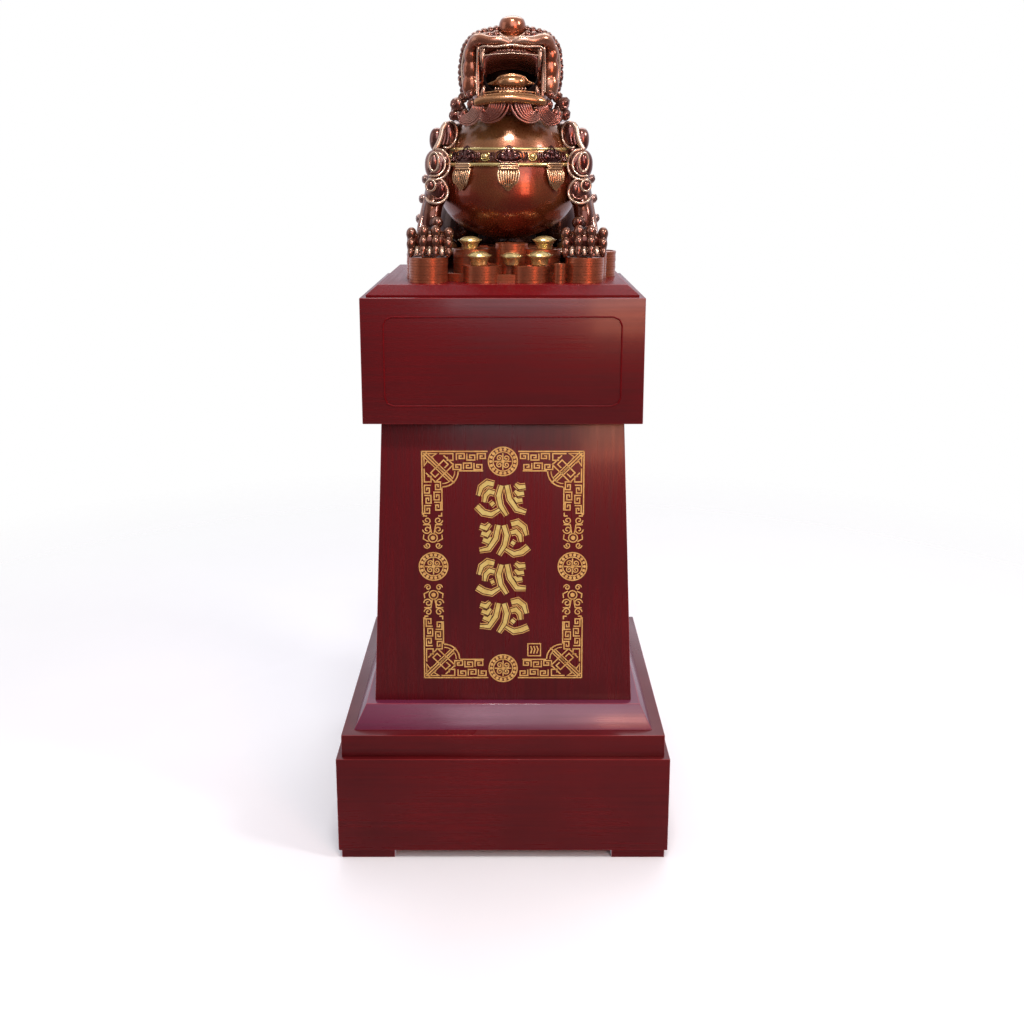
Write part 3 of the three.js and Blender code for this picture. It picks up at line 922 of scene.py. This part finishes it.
pale_edge = bronze("bronze pale edge", (212, 180, 156), (244, 230, 212), (110, 62, 44), 0.2, (0.22, 0.32),
    0.75)
rims = bmesh.new()
bow = lips(1, (-57, -2, 318), (-58, 2, 345), (-57, 1, 370), (-56, -2, 387), (-48, -6, 394),
    (-26, -9, 393.5), (0, -10, 396), (26, -9, 393.5), (48, -6, 394), (56, -2, 387), (58, 1, 370),
    (59, 2, 345), (59, -2, 320))
rod(rims, bow, lambda share: 1.0 + 1.1 * sin(pi * share) ** 3, 10, 96)
for side in (-1, 1):
    upper = lips(side, (3, -5, 404), (16, -5, 410), (34, -3, 409), (56, 7, 416), (68, 17, 411),
        (76, 28, 398))
    rod(rims, upper, rounded(1.6, 0.06), 10, 64)
    cheek = sided(side, (76, -118, 400), (81, -110, 384), (84, -104, 364), (83, -104, 344), (80, -108, 326),
        (76, -116, 314))
    rod(rims, cheek, rounded(3.0, 0.15), 12, 40, 0.6, (side, -1, 0))
    rod(rims, lips(side, (47, -2, 380), (26, -4, 382), (0, -5, 383.5)), 1.0, 8, 20)
cast("mouth_rims", rims, pale_edge, relief=(2, 10, 3.0))


# Teeth and palate: small blunt teeth along both jaws, four long fangs, and ridges across the roof
# of the mouth, all cast with the head.

ivory = bronze("bronze of the teeth", (168, 126, 104), (226, 200, 176), (90, 52, 40), 0.1)
teeth = bmesh.new()
tooth_gap = 4.6
fang = taper(5, 1, 1.6)
for i in range(11):
    x = tooth_gap * (i - 5)
    ball(teeth, (x, lip_y - 3, 387.5), (1.8, 2, 2.8), across=10, along=8)
    ball(teeth, (x * 1.1, lip_y - 4, 325), (1.7, 1.5, 2.8), across=10, along=8)
for side in (-1, 1):
    rod(teeth, lips(side, (48, 4, 389), (49, -1, 374), (47, 0, 360)), fang, 12, 12)
    rod(teeth, lips(side, (46, 0, 314), (46, -3, 322), (44, -1, 331)), fang, 12, 10)
cast("teeth", teeth, ivory, relief=(2, 10, 3.0))
gum_bronze = bronze("bronze of the palate", (120, 62, 50), (170, 110, 90), (36, 16, 14), 0.05, metal=0.5)
palate = bmesh.new()
for i in range(10):
    y = lip_y + 4 + 8.5 * i
    low = 2.1 * i
    ridge = mirrored((0, y - 1, 387 - low), (24, y, 384 - low), (43, y + 1, 375 - low),
        (47, y + 2, 362 - low))
    rod(palate, ridge, 5, 10, 32)
cast("palate", palate, gum_bronze, relief=(2, 10, 3.0))


# Mane: a close rim of small curls round the face, larger snail curls in rows over the back of the
# head and down the neck, and a few round the jaw, modelled one by one and cast with the head.

skull = Vector((0, -36, 350))
skull_radii = Vector((78, 82, 68))
curl_gap = 24


def snail(bm, centre, out, size, turns=1.6, hand=1):
    """A curl: a low dome with a rope winding up to its tip, facing outwards"""
    out = Vector(out).normalized()
    right = Vector((0.13, 0.2, 1)).cross(out).normalized()
    up = out.cross(right)
    centre = Vector(centre)
    turn = Matrix((right, up, out)).transposed().to_4x4()
    ball(bm, centre, (size * 0.9, size * 0.9, size * 0.6), turn=turn, across=10, along=6)

    def wind(share):
        angle = hand * share * turns * 2 * pi
        reach = size * (0.84 - 0.74 * share)
        lift = size * (0.12 + 0.52 * share)
        return centre + right * reach * cos(angle) + up * reach * sin(angle) + out * lift

    rod(bm, wind, rounded(size * 0.24, 0.12, size * 0.14), 5, 14)


dark_locks = bronze("bronze dark locks", (118, 64, 52), (230, 200, 184), (24, 12, 12), 0.25,
    rub=(0.15, 0.85))
mane = bmesh.new()
for ring in range(8):
    lean = 1.28 + 0.27 * ring
    around = max(1, round(2 * pi * sin(lean) * skull_radii.x / curl_gap))
    for i in range(around):
        angle = 2 * pi * (i + 0.5 * (ring % 2)) / around - pi / 2
        way = Vector((sin(lean) * cos(angle), -cos(lean), sin(lean) * sin(angle)))
        if way.z > -0.72 or way.y > 0.5:
            spot = skull + Vector([share * radius for share, radius in zip(way, skull_radii)])
            snail(mane, spot, way, 13, hand=1 if way.x > 0 else -1)
for ring in range(6):
    share = 0.93 - 0.083 * ring
    ahead = spine(share) - spine(share - 0.02)
    behind = ahead.cross(Vector((1, 0, 0))).normalized()
    for i in range(10 - ring % 2):
        angle = pi * (i + 0.5 + 0.5 * (ring % 2)) / 10
        way = Vector((cos(angle), 0, 0)) + behind * sin(angle)
        spot = spine(share) + way * (girth(share) + 2)
        snail(mane, spot, way, 13.5, hand=1 if spot.x > 0 else -1)
for side in (-1, 1):
    brow = sided(side, (27, -74, 431), (48, -76, 426.5), (64, -79, 420), (75, -82, 409), (82, -84, 397),
        (85, -84, 380), (87, -84, 361), (86, -87, 342), (82, -92, 324))
    for row, (size, back, sink) in enumerate(((7.2, 0, 0), (8, -13, 9), (9, 17, 2))):
        for i in range(16):
            spot = brow((i + 0.5 * (row % 2)) / 15.5)
            spot += Vector((-sink * spot.x / 90, back, -sink * max(0, spot.z - 380) / 50))
            snail(mane, spot, (spot.x * 0.8, -70, spot.z - 340), size, 1.3, side if i % 2 else -side)
    rod(mane, lambda share: brow(share) + Vector((-7 * side, 12, -5)), 8, 10, 24)
    for x, y, z, size in ((93, -112, 303, 13), (97, -108, 284, 11), (78, -126, 285, 9.5), (90, -84, 296, 16),
            (86, -60, 288, 16), (82, -98, 314, 11)):
        snail(mane, (side * x, y, z), (side * (x - 70) / 30, -1.1, 0.1), size, hand=side)
    for x, y, z, size in ((69, -133, 317, 8), (67, -136, 301, 8.5)):
        snail(mane, (side * x, y, z), (side * 0.5, -1, 0.1), size, 1.4, -side)
cast("mane", mane, dark_locks, relief=(2, 8, 2.2))


# Beard: two tufts on each side of the chin, every strand cut on its own, swept outwards and curled
# up round a small ball. Each tuft lies on a broad core and is cast with the jaw.

strands = 8
tufts = (
    ((1, 303), (5, 290), (15, 277), (29, 270.5), (42, 270.5), (51, 276), (54, 285)),
    ((34, 303), (35, 297), (37, 291), (41, 287), (45, 287), (47, 289), (46, 292)),
    ((45, 300), (47, 287), (55, 274), (66, 266.5), (77, 267), (86, 272), (88, 281)),
    ((63, 300), (65, 293), (69, 287), (74, 284), (79, 284), (82, 287), (80, 291)),
)


def on_jaw(side, x, z, proud=0.0):
    """A point before the chin, which is nearest to the viewer in the middle"""
    return Vector((side * x, 0.0045 * x * x - 158 - proud, z))


def between(long, short, share):
    """The line of one strand, a share of the way from the tuft's lower edge to its upper one"""
    return [Vector(low).lerp(Vector(high), share) for low, high in zip(long, short)]


hair_bronze = bronze("bronze combed hair", (144, 74, 60), (232, 198, 180), (34, 15, 14), 0.2,
    rub=(0.02, 0.65))
beard = bmesh.new()
for side in (-1, 1):
    for long, short in (tufts[:2], tufts[2:]):
        for i in range(strands):
            share = i / (strands - 1)
            path = between(long, short, share ** 0.8)
            strand = curve(*[on_jaw(side, x, z, 4 * share + (306 - z) * 0.06) for x, z in path])
            rod(beard, strand, rounded(2.4, 0.25, 1.4), 8, 24)
        eye_x, eye_z = short[4]
        ball(beard, on_jaw(side, eye_x, eye_z + 2, 3), 4.6)
        core = curve(*[on_jaw(side, x, z + 3, -8) for x, z in between(long, short, 0.5)])
        rod(beard, core, lambda share: 9 - 2 * share, 14, 16, 0.6, (0, 1, 0))
cast("beard", beard, hair_bronze, relief=(2, 8, 1.6))


# Belt: two gilded rails round the belly with a golden-brown band between them, three dark
# cloud-shaped medallions, gilded studs, and a fluted tassel hanging under each medallion.

belt_low = 200
belt_high = 226
belt_middle = (belt_low + belt_high) / 2
belt_end = 1.8
medal_turn = 0.72


def on_belly(angle, z, proud=0.0):
    """A point on the belly at an angle from the front, standing out from the skin"""
    rise = (z - belly.z) / belly_radii.z
    share = sqrt(max(0, 1 - rise * rise))
    across = (belly_radii.x * share + proud) * sin(angle)
    return Vector((across, belly.y - (belly_radii.y * share + proud) * cos(angle), z))


def round_belly(z, proud):
    return lambda share: on_belly(belt_end * (2 * share - 1), z, proud)


def facing(angle, z):
    """Sideways, upwards and outwards at a place on the belly, as a turning matrix"""
    out = (on_belly(angle, z, 10) - on_belly(angle, z)).normalized()
    up = (on_belly(angle, z + 5) - on_belly(angle, z - 5)).normalized()
    right = up.cross(out).normalized()
    matrix = Matrix((right, up, right.cross(up))).transposed().to_4x4()
    return Matrix.Translation(on_belly(angle, z)) @ matrix


def medallion(place):
    """Domed lobes in a raised rim, with two scrolls, two strokes and a pair of bars at each end"""
    turn = place.to_3x3().to_4x4()

    def lobe(x, y, radii, z=0.0):
        ball(medals, place @ Vector((x, y, z)), radii, turn=turn)

    def line_over(side, radius, steps, *points):
        rod(medals, curve(*[place @ Vector((side * x, y, z)) for x, y, z in points]), radius, 6, steps)

    lobe(0, -1, (21, 10.5, 5))
    lobe(0, 5, (10, 12, 6))
    for side in (-1, 1):
        lobe(side * 11, 0, (9.5, 9, 6))
        scroll = []
        for i in range(15):
            reach = 6.5 * (1 - i / 17)
            scroll.append((10 + reach * cos(i * 0.5 + 1.2), -0.5 + reach * sin(i * 0.5 + 1.2), 5.6))
        line_over(side, taper(1.6, 1), 40, *scroll)
        line_over(side, 1.5, 14, (3, 3, 6), (7, 9, 5.5), (0, 16, 4.5))
        line_over(side, 1.7, 40, (0, -10, 3), (12, -10, 3), (23, -4, 2), (22, 6, 2), (12, 10, 3), (7, 14, 3),
            (0, 18.5, 3))
        for x in (26, 30):
            line_over(side, 1.3, 12, (x, -8, 1.5), (x + 3, 0, 1.5), (x, 8, 1.5))
    lobe(0, -3, (3, 3, 2), 5)


def tassel(angle):
    """Three bound rings over a skirt of cut strands that draws in to a point, on a flat core"""

    def hang(x, down, out):
        """A point under the belt, following the belly's curve sideways and downwards"""
        return on_belly(angle + x / belly_radii.y, belt_low - 4 - down, out)

    for i, half in enumerate((16, 17.5, 16)):
        rod(tassels, lambda share: hang(half * (2 * share - 1), -5 + 4 * i, 6), rounded(2.2, 0.1), 8, 20)
    count = 9
    for i in range(count):
        x = 15.5 * (2 * i / (count - 1) - 1)
        tip = hang(x * 0.5, 41 - 0.04 * x * x, 4.5)
        strand = curve(hang(x, 4, 4), hang(x * 1.04, 13, 7), hang(x * 0.84, 26, 7), tip)
        rod(tassels, strand, lambda share: 1.7 - 1.0 * share ** 3, 7, 16)
    core = curve(hang(0, 2, -1), hang(0, 20, -1), hang(0, 38, -1.5))
    out = facing(angle, belt_low).col[2].xyz
    rod(tassels, core, lambda share: 16 - 11 * share ** 2, 16, 10, 0.25, out)


gilt = bronze("gilt", (228, 204, 136), (250, 240, 200), (104, 66, 28), 0.05, (0.2, 0.3), 0.8)
rails = bmesh.new()
for z in (belt_low, belt_high):
    rod(rails, round_belly(z, 2.4), 3.3, 12, 96)
for side in (-1, 1):
    for step in (0.5, 1.5):
        place = facing(side * step * medal_turn, belt_middle)
        ring = [place @ Vector((x, y, 2)) for x, y in circle(0, 0, 7.4, 24)]
        ball(rails, place @ Vector((0, 0, 2)), 5.4)
        rod(rails, curve(*ring), 1.2, 6, 24)
cast("belt_rails_and_studs", rails, gilt)

strap = bmesh.new()
rod(strap, round_belly(belt_middle, -0.5), 2.4, 16, 72, 5, (0, 0, 1))
cast("belt_band", strap, gold_bronze, relief=(2, 12, 2.4))

dark_bronze = bronze("bronze dark", (72, 26, 22), (146, 84, 66), (24, 9, 9), 0.05, rub=(0.45, 1.1))
medals = bmesh.new()
tassels = bmesh.new()
for step in (-1, 0, 1):
    medallion(facing(step * medal_turn, belt_middle))
    tassel(step * medal_turn)
cast("medallions", medals, dark_bronze, relief=(2, 12, 2.4))
cast("tassels", modelled(tassels, 0.8, 1), gold_bronze, relief=(3, 16, 0.4))


# Shoulder scrolls: three cloud scrolls down each shoulder, domed fields with a raised pale edge
# that sweeps round them to an oval eye, and curled knobs of hair behind the leg. Cast with it.

fields = bmesh.new()
edges = bmesh.new()


def on_shoulder(side, x, z, proud=0.0):
    """A point on the front of the shoulder and foreleg, which is round and leans forward as it drops"""
    drop = (270 - z) / 110
    middle = 108 + 17 * min(1, drop * 1.4)
    wide = 24 + proud
    share = max(-0.98, min(0.98, (x - middle) / wide))
    return Vector((side * x, -66 - 31 * drop - wide * sqrt(1 - share * share), z))


def rim_on_shoulder(outline, size, proud=0.0, drawing=edges):
    path = curve(*[on_shoulder(side, x, z, proud) for x, z in outline])
    rod(drawing, path, rounded(size, 0.1), 10, 8 * len(outline))


for side in (-1, 1):
    outwards = Matrix.Rotation(side * 0.35, 4, "Z")
    for x, z, wide, tall, sink in ((108, 251, 15, 24, 13), (128, 243, 13, 21, 14), (126, 200, 23, 27, 12),
            (124, 155, 21, 22, 14)):
        ball(fields, on_shoulder(side, x, z, -sink), (wide, 15, tall), 2.3, outwards, 32, 20)
    for x, z, wide, tall in ((114, 200, 6, 14), (117, 157, 7, 12)):
        ball(fields, on_shoulder(side, x, z), (wide, 7, tall))
    rim_on_shoulder(((108, 274), (98, 271), (93, 259), (94, 246), (98, 236), (107, 229), (116, 230)), 2.2)
    rim_on_shoulder(((110, 272), (117, 263), (120, 249), (125, 235), (132, 223)), 4.8, 1)
    for x in (107, 113):
        rim_on_shoulder(((x + 2, 266), (x, 254), (x + 1, 242), (x + 4, 233)), 2.6, 0, fields)
    rim_on_shoulder(((130, 226), (116, 224), (108, 215), (104, 202), (106, 189), (114, 179), (128, 174),
        (141, 176)), 2.4, 3)
    rim_on_shoulder(((129, 221), (119, 217), (112, 205), (114, 191), (125, 181), (140, 181)), 2.0, 6)
    rim_on_shoulder(((121, 177), (111, 167), (106, 152), (111, 140), (123, 134), (137, 136), (145, 144)),
        2.4, 4)
    rim_on_shoulder(((122, 170), (115, 161), (113, 150), (119, 142), (131, 141)), 2.6, 2, fields)
    rim_on_shoulder(((124, 213), (120, 204), (120, 192), (127, 185), (138, 186)), 2.4, 6, fields)
    for x, z, wide, tall, size in ((131, 204, 8.5, 16, 2.6), (136, 164, 8.5, 9.5, 2.3)):
        spot = on_shoulder(side, x, z, 4)
        ring = [spot + Vector((side * wide * across, wide * 0.45 * across, tall * up)) for across, up in
            circle(0, 0, 1, 16)]
        rod(edges, curve(*ring), size, 10, 48)
        ball(fields, spot + Vector((0, 5, 0)), (wide, 8, tall))
    lock = sided(side, *[(132 + 6 * step, -22 * step - 52, 212 - 34 * step) for step in range(5)])
    rod(fields, lock, rounded(6, 0.2), 10, 30)
    for step in range(3):
        spot = (side * (148 + 4 * step), -76 - 17 * step, 175 - 34 * step)
        snail(fields, spot, (side, -0.7, 0.1), 9.5, 1.4, side)
field_bronze = bronze("bronze dark red", (104, 50, 43), (214, 178, 162), (24, 11, 12), 0.15, rub=(0.1, 0.8))
cast("scroll_fields", fields, field_bronze, relief=(3, 24, 1.8))
cast("scroll_edges", edges, pale_edge)


# Front paws: four toes on each, every one of three knuckles over a small claw, and a curved pale
# claw in each gap between them. The paws are cast standing on the tallest coin stacks.

toe_gap = 21.4
knuckle = bronze("bronze knuckles", (128, 82, 66), (230, 200, 182), (32, 15, 12), 0.15, rub=(0.25, 0.85))
toes = bmesh.new()
claws = bmesh.new()
for side in (-1, 1):
    for step in (-1.5, -0.5, 0.5, 1.5):
        x = side * paw_x + step * toe_gap
        y, top = (-172, 87) if abs(step) < 1 else (-164, 83)
        for down, forward, size, tall in ((0, 0, 9.2, 11.5), (17, 7, 7.9, 10.5), (31, 9, 6.4, 9)):
            ball(toes, (x, y - forward, top - down), (size, size * 1.15, tall))
        instep = curve((x, y + 22, top + 2), (x, y + 2, top - 4), (x, y - 7, 52))
        rod(toes, instep, rounded(7.6, 0.2), 12, 12)
        tip = curve((x, y - 9, 56), (x + step, y - 14, 50), (x + step, y - 13, 43))
        rod(toes, tip, taper(5, 1.4, 1.5), 12, 8)
    for step in (-1, 0, 1):
        x = side * paw_x + step * toe_gap
        rod(claws, curve((x, -166, 60), (x, -176, 56), (x, -180, 46)), rounded(4.2, 0.3), 12, 10)
cast("toes", modelled(toes, 1.2, 2), knuckle, relief=(4, 24, 1.6))
cast("claws", claws, pale_edge)


# Coins: round stacks of cash under the paws and all round the seat, every coin's rim showing as a
# fine line, the top one with its square hole. A low round heap joins them under the beast.

coin_thick = 4.6
coin_radius = 34


def coin_stack(x, y, radius, tall):
    """Coins of slightly unequal widths lying one on the other, spun from a single outline"""
    count = max(2, round(tall / coin_thick))
    thick = tall / count
    outline = [(0, 0), (radius - 0.5, 0)]
    for i in range(count):
        wide = radius - 0.25 * (i * 7 % 3)
        outline += [(wide, i * thick + 0.3), (wide, (i + 1) * thick - 0.3), (radius - 0.9, (i + 1) * thick)]
    outline[-1] = (radius - 0.4, tall - 0.2)
    outline += [(radius - 1.2, tall + 0.3), (radius - 3.6, tall + 0.2), (radius - 4.6, tall - 1.1)]
    outline += [(0, tall - 1.1)]
    stack = turned([(wide, 0, z) for wide, z in outline], 48)
    if radius > 20:
        block = Matrix.Translation((0, 0, tall - 0.9)) @ Matrix.Diagonal((15, 15, 1.6, 1))
        hole = bmesh.ops.create_cube(stack, size=1, matrix=block)["verts"]
        walls = {face for vert in hole for face in vert.link_faces}
        top = max(walls, key=lambda face: face.calc_center_median().z)
        bmesh.ops.inset_individual(stack, faces=[top], thickness=2.6)
        bmesh.ops.translate(stack, verts=top.verts, vec=(0, 0, -1.4))
    place = Matrix.Translation((x, y, 0)) @ Matrix.Rotation(0.3 + x * 0.11, 4, "Z")
    bmesh.ops.transform(stack, matrix=place, verts=stack.verts)
    pour(stack, coins)


copper = bronze("copper coins", (180, 98, 68), (236, 190, 156), (84, 36, 24), 0.2, (0.3, 0.42),
    rub=(0.35, 1.0), shade=0.3)
coins = bmesh.new()
coin_stack(0, -8, 176, 14)
coin_stack(8, -132, 29, 65)
coin_stack(92, -184, 10.5, 33)
coin_stack(165, -48, 35, 46)
for side in (-1, 1):
    for x, y, radius, tall in ((136, -160, coin_radius, 43), (146, -92, coin_radius, 45),
            (42, -162, coin_radius, 29), (62, -126, 33, 55), (148, -14, 38, 36), (148, 66, 36, 42),
            (104, 134, 36, 34), (36, 158, 34, 28), (44, -22, 42, 54)):
        coin_stack(side * x, y, radius, tall)
cast("coin_stacks", coins, copper, relief=(1, 3, 3.0), smooth=0.5)


# Ingots: boat-shaped gold ingots lying on the coins, a smooth dome in an upturned brim over a
# narrow foot. They are cast with the coins and gilded.

boat = [(0, 0), (0.56, 0), (0.62, 0.1), (0.68, 0.45), (0.84, 0.6), (1, 0.68), (0.98, 0.75), (0.88, 0.74),
    (0.84, 0.8), (0.74, 0.94), (0.52, 1.07), (0.25, 1.13), (0, 1.14)]
ingots = bmesh.new()
for x, y, z, length, turn in ((-65, -146, 55, 42, 0), (65, -146, 55, 43, 0.1), (-48, -172, 29, 45, 0),
        (9, -168, 29, 42, -0.5), (57, -172, 29, 46, 0)):
    ingot = turned([(wide, 0, rise) for wide, rise in boat], 40, dist=0.001)
    for vert in ingot.verts:
        wide, deep, rise = vert.co
        brim = max(0, 1 - abs(rise - 0.7) * 4) * wide ** 2
        vert.co = Vector((wide * length / 2, deep * length / 2.9, (rise + 0.16 * brim) * length * 0.48))
    place = Matrix.Translation((x, y, z)) @ Matrix.Rotation(turn, 4, "Z")
    bmesh.ops.transform(ingot, matrix=place, verts=ingot.verts)
    pour(ingot, ingots)
cast("ingots", ingots, gilt, relief=(2, 8, 2.4))


# Wings: folded flat along the flanks, three rows of feathers, each with a raised quill, that start
# in a small scroll. Modelled as one skin and cast with the body.

red_bronze = bronze("bronze red-brown", (134, 56, 36), (208, 160, 130), (32, 14, 12), 0.5)
wings = bmesh.new()
for side in (-1, 1):
    for row in range(3):
        for i in range(5 - row):
            y = -4 + 26 * i + 8 * row
            z = 252 - 26 * row - 3 * i
            reach = 112 - 9 * i - 4 * row
            out = Vector((side, 0.25 + 0.1 * i, 0.2))
            feather = sided(side, (reach, y, z), (reach + 5, y + 22, z + 6), (reach - 2, y + 46, z + 14),
                (reach - 12, y + 66, z + 27))
            rod(wings, feather, lambda share: 12 * sqrt(max(0.02, 1 - share ** 2.2)), 12, 18, 0.45, out)
            out.normalize()
            quill = curve(*[feather(share) + out * (5.5 - share) for share in (0, 0.3, 0.6, 0.9)])
            rod(wings, quill, rounded(1.7, 0.2), 6, 16)
        spot = (side * (114 - 4 * row), -8 + 8 * row, 250 - 26 * row)
        snail(wings, spot, (side, -0.1, 0.2), 14, hand=side)
cast("wings", modelled(wings, 1.9, 3), red_bronze, relief=(4, 24, 1.4))


# Haunch scrolls: a raised spiral on the outside of each haunch inside a curved line, with four
# small curls behind it. Chased on the casting.


def on_haunch(side, back, up):
    """A point on the outer face of a haunch, back and up from its middle as shares of its size"""
    bulge = sqrt(max(0.0, 1 - back * back - up * up))
    return Vector((side * (haunch.x + haunch_radii.x * bulge), haunch.y + haunch_radii.y * back,
        haunch.z + haunch_radii.z * up))


hips = bmesh.new()
for side in (-1, 1):
    spiral = [on_haunch(side, *point) for point in coil(-0.1, 0.05, 0.72, 1.9, -2.4, 0.1, 30)]
    rod(hips, curve(*spiral), rounded(4.2, 0.1, 3.2), 10, 90)
    outer = [on_haunch(side, *point) for point in coil(-0.02, 0.02, 0.88, 0.62, -1.9, 1, 14)]
    rod(hips, curve(*outer), rounded(3.4, 0.2), 10, 50)
    for step in range(4):
        turn = 0.1 + 0.36 * step
        spot = on_haunch(side, 0.86 * cos(turn), 0.86 * sin(turn))
        snail(hips, spot, (side * 0.6, cos(turn), sin(turn)), 12, 1.4, side)
cast("haunch_scrolls", hips, red_bronze, relief=(2, 8, 2.4))


# Tail and spine: flame locks turned up against the back, with curls at their roots, and a ridge of
# knobs from nape to tail. Cast with the body.

tail = bmesh.new()
for side in (-1, 0, 1):
    for strand in (-1, 0, 1):
        points = []
        for step in range(6):
            spread = side * 34 * sin(0.5 + 0.4 * step) + strand * (8 - step)
            back = 166 - 12 * max(0, step - 3) - spread * spread / 170
            points.append((spread, back, 50 + 29 * step - 10 * abs(side)))
        rod(tail, curve(*points), lambda share: (12 - 7 * share) * (1 - 0.2 * abs(strand)), 12, 24)
    snail(tail, (side * 42, 152, 62), (side, 1, 0.2), 16, hand=side or 1)
for i in range(8):
    share = 0.3 + 0.06 * i
    ahead = spine(share + 0.02) - spine(share - 0.02)
    out = Vector((0, ahead.z, -ahead.y)).normalized()
    ball(tail, spine(share) + out * girth(share), (9, 11, 9))
cast("tail_and_spine", modelled(tail, 1.9, 3), red_bronze, relief=(4, 24, 1.4))
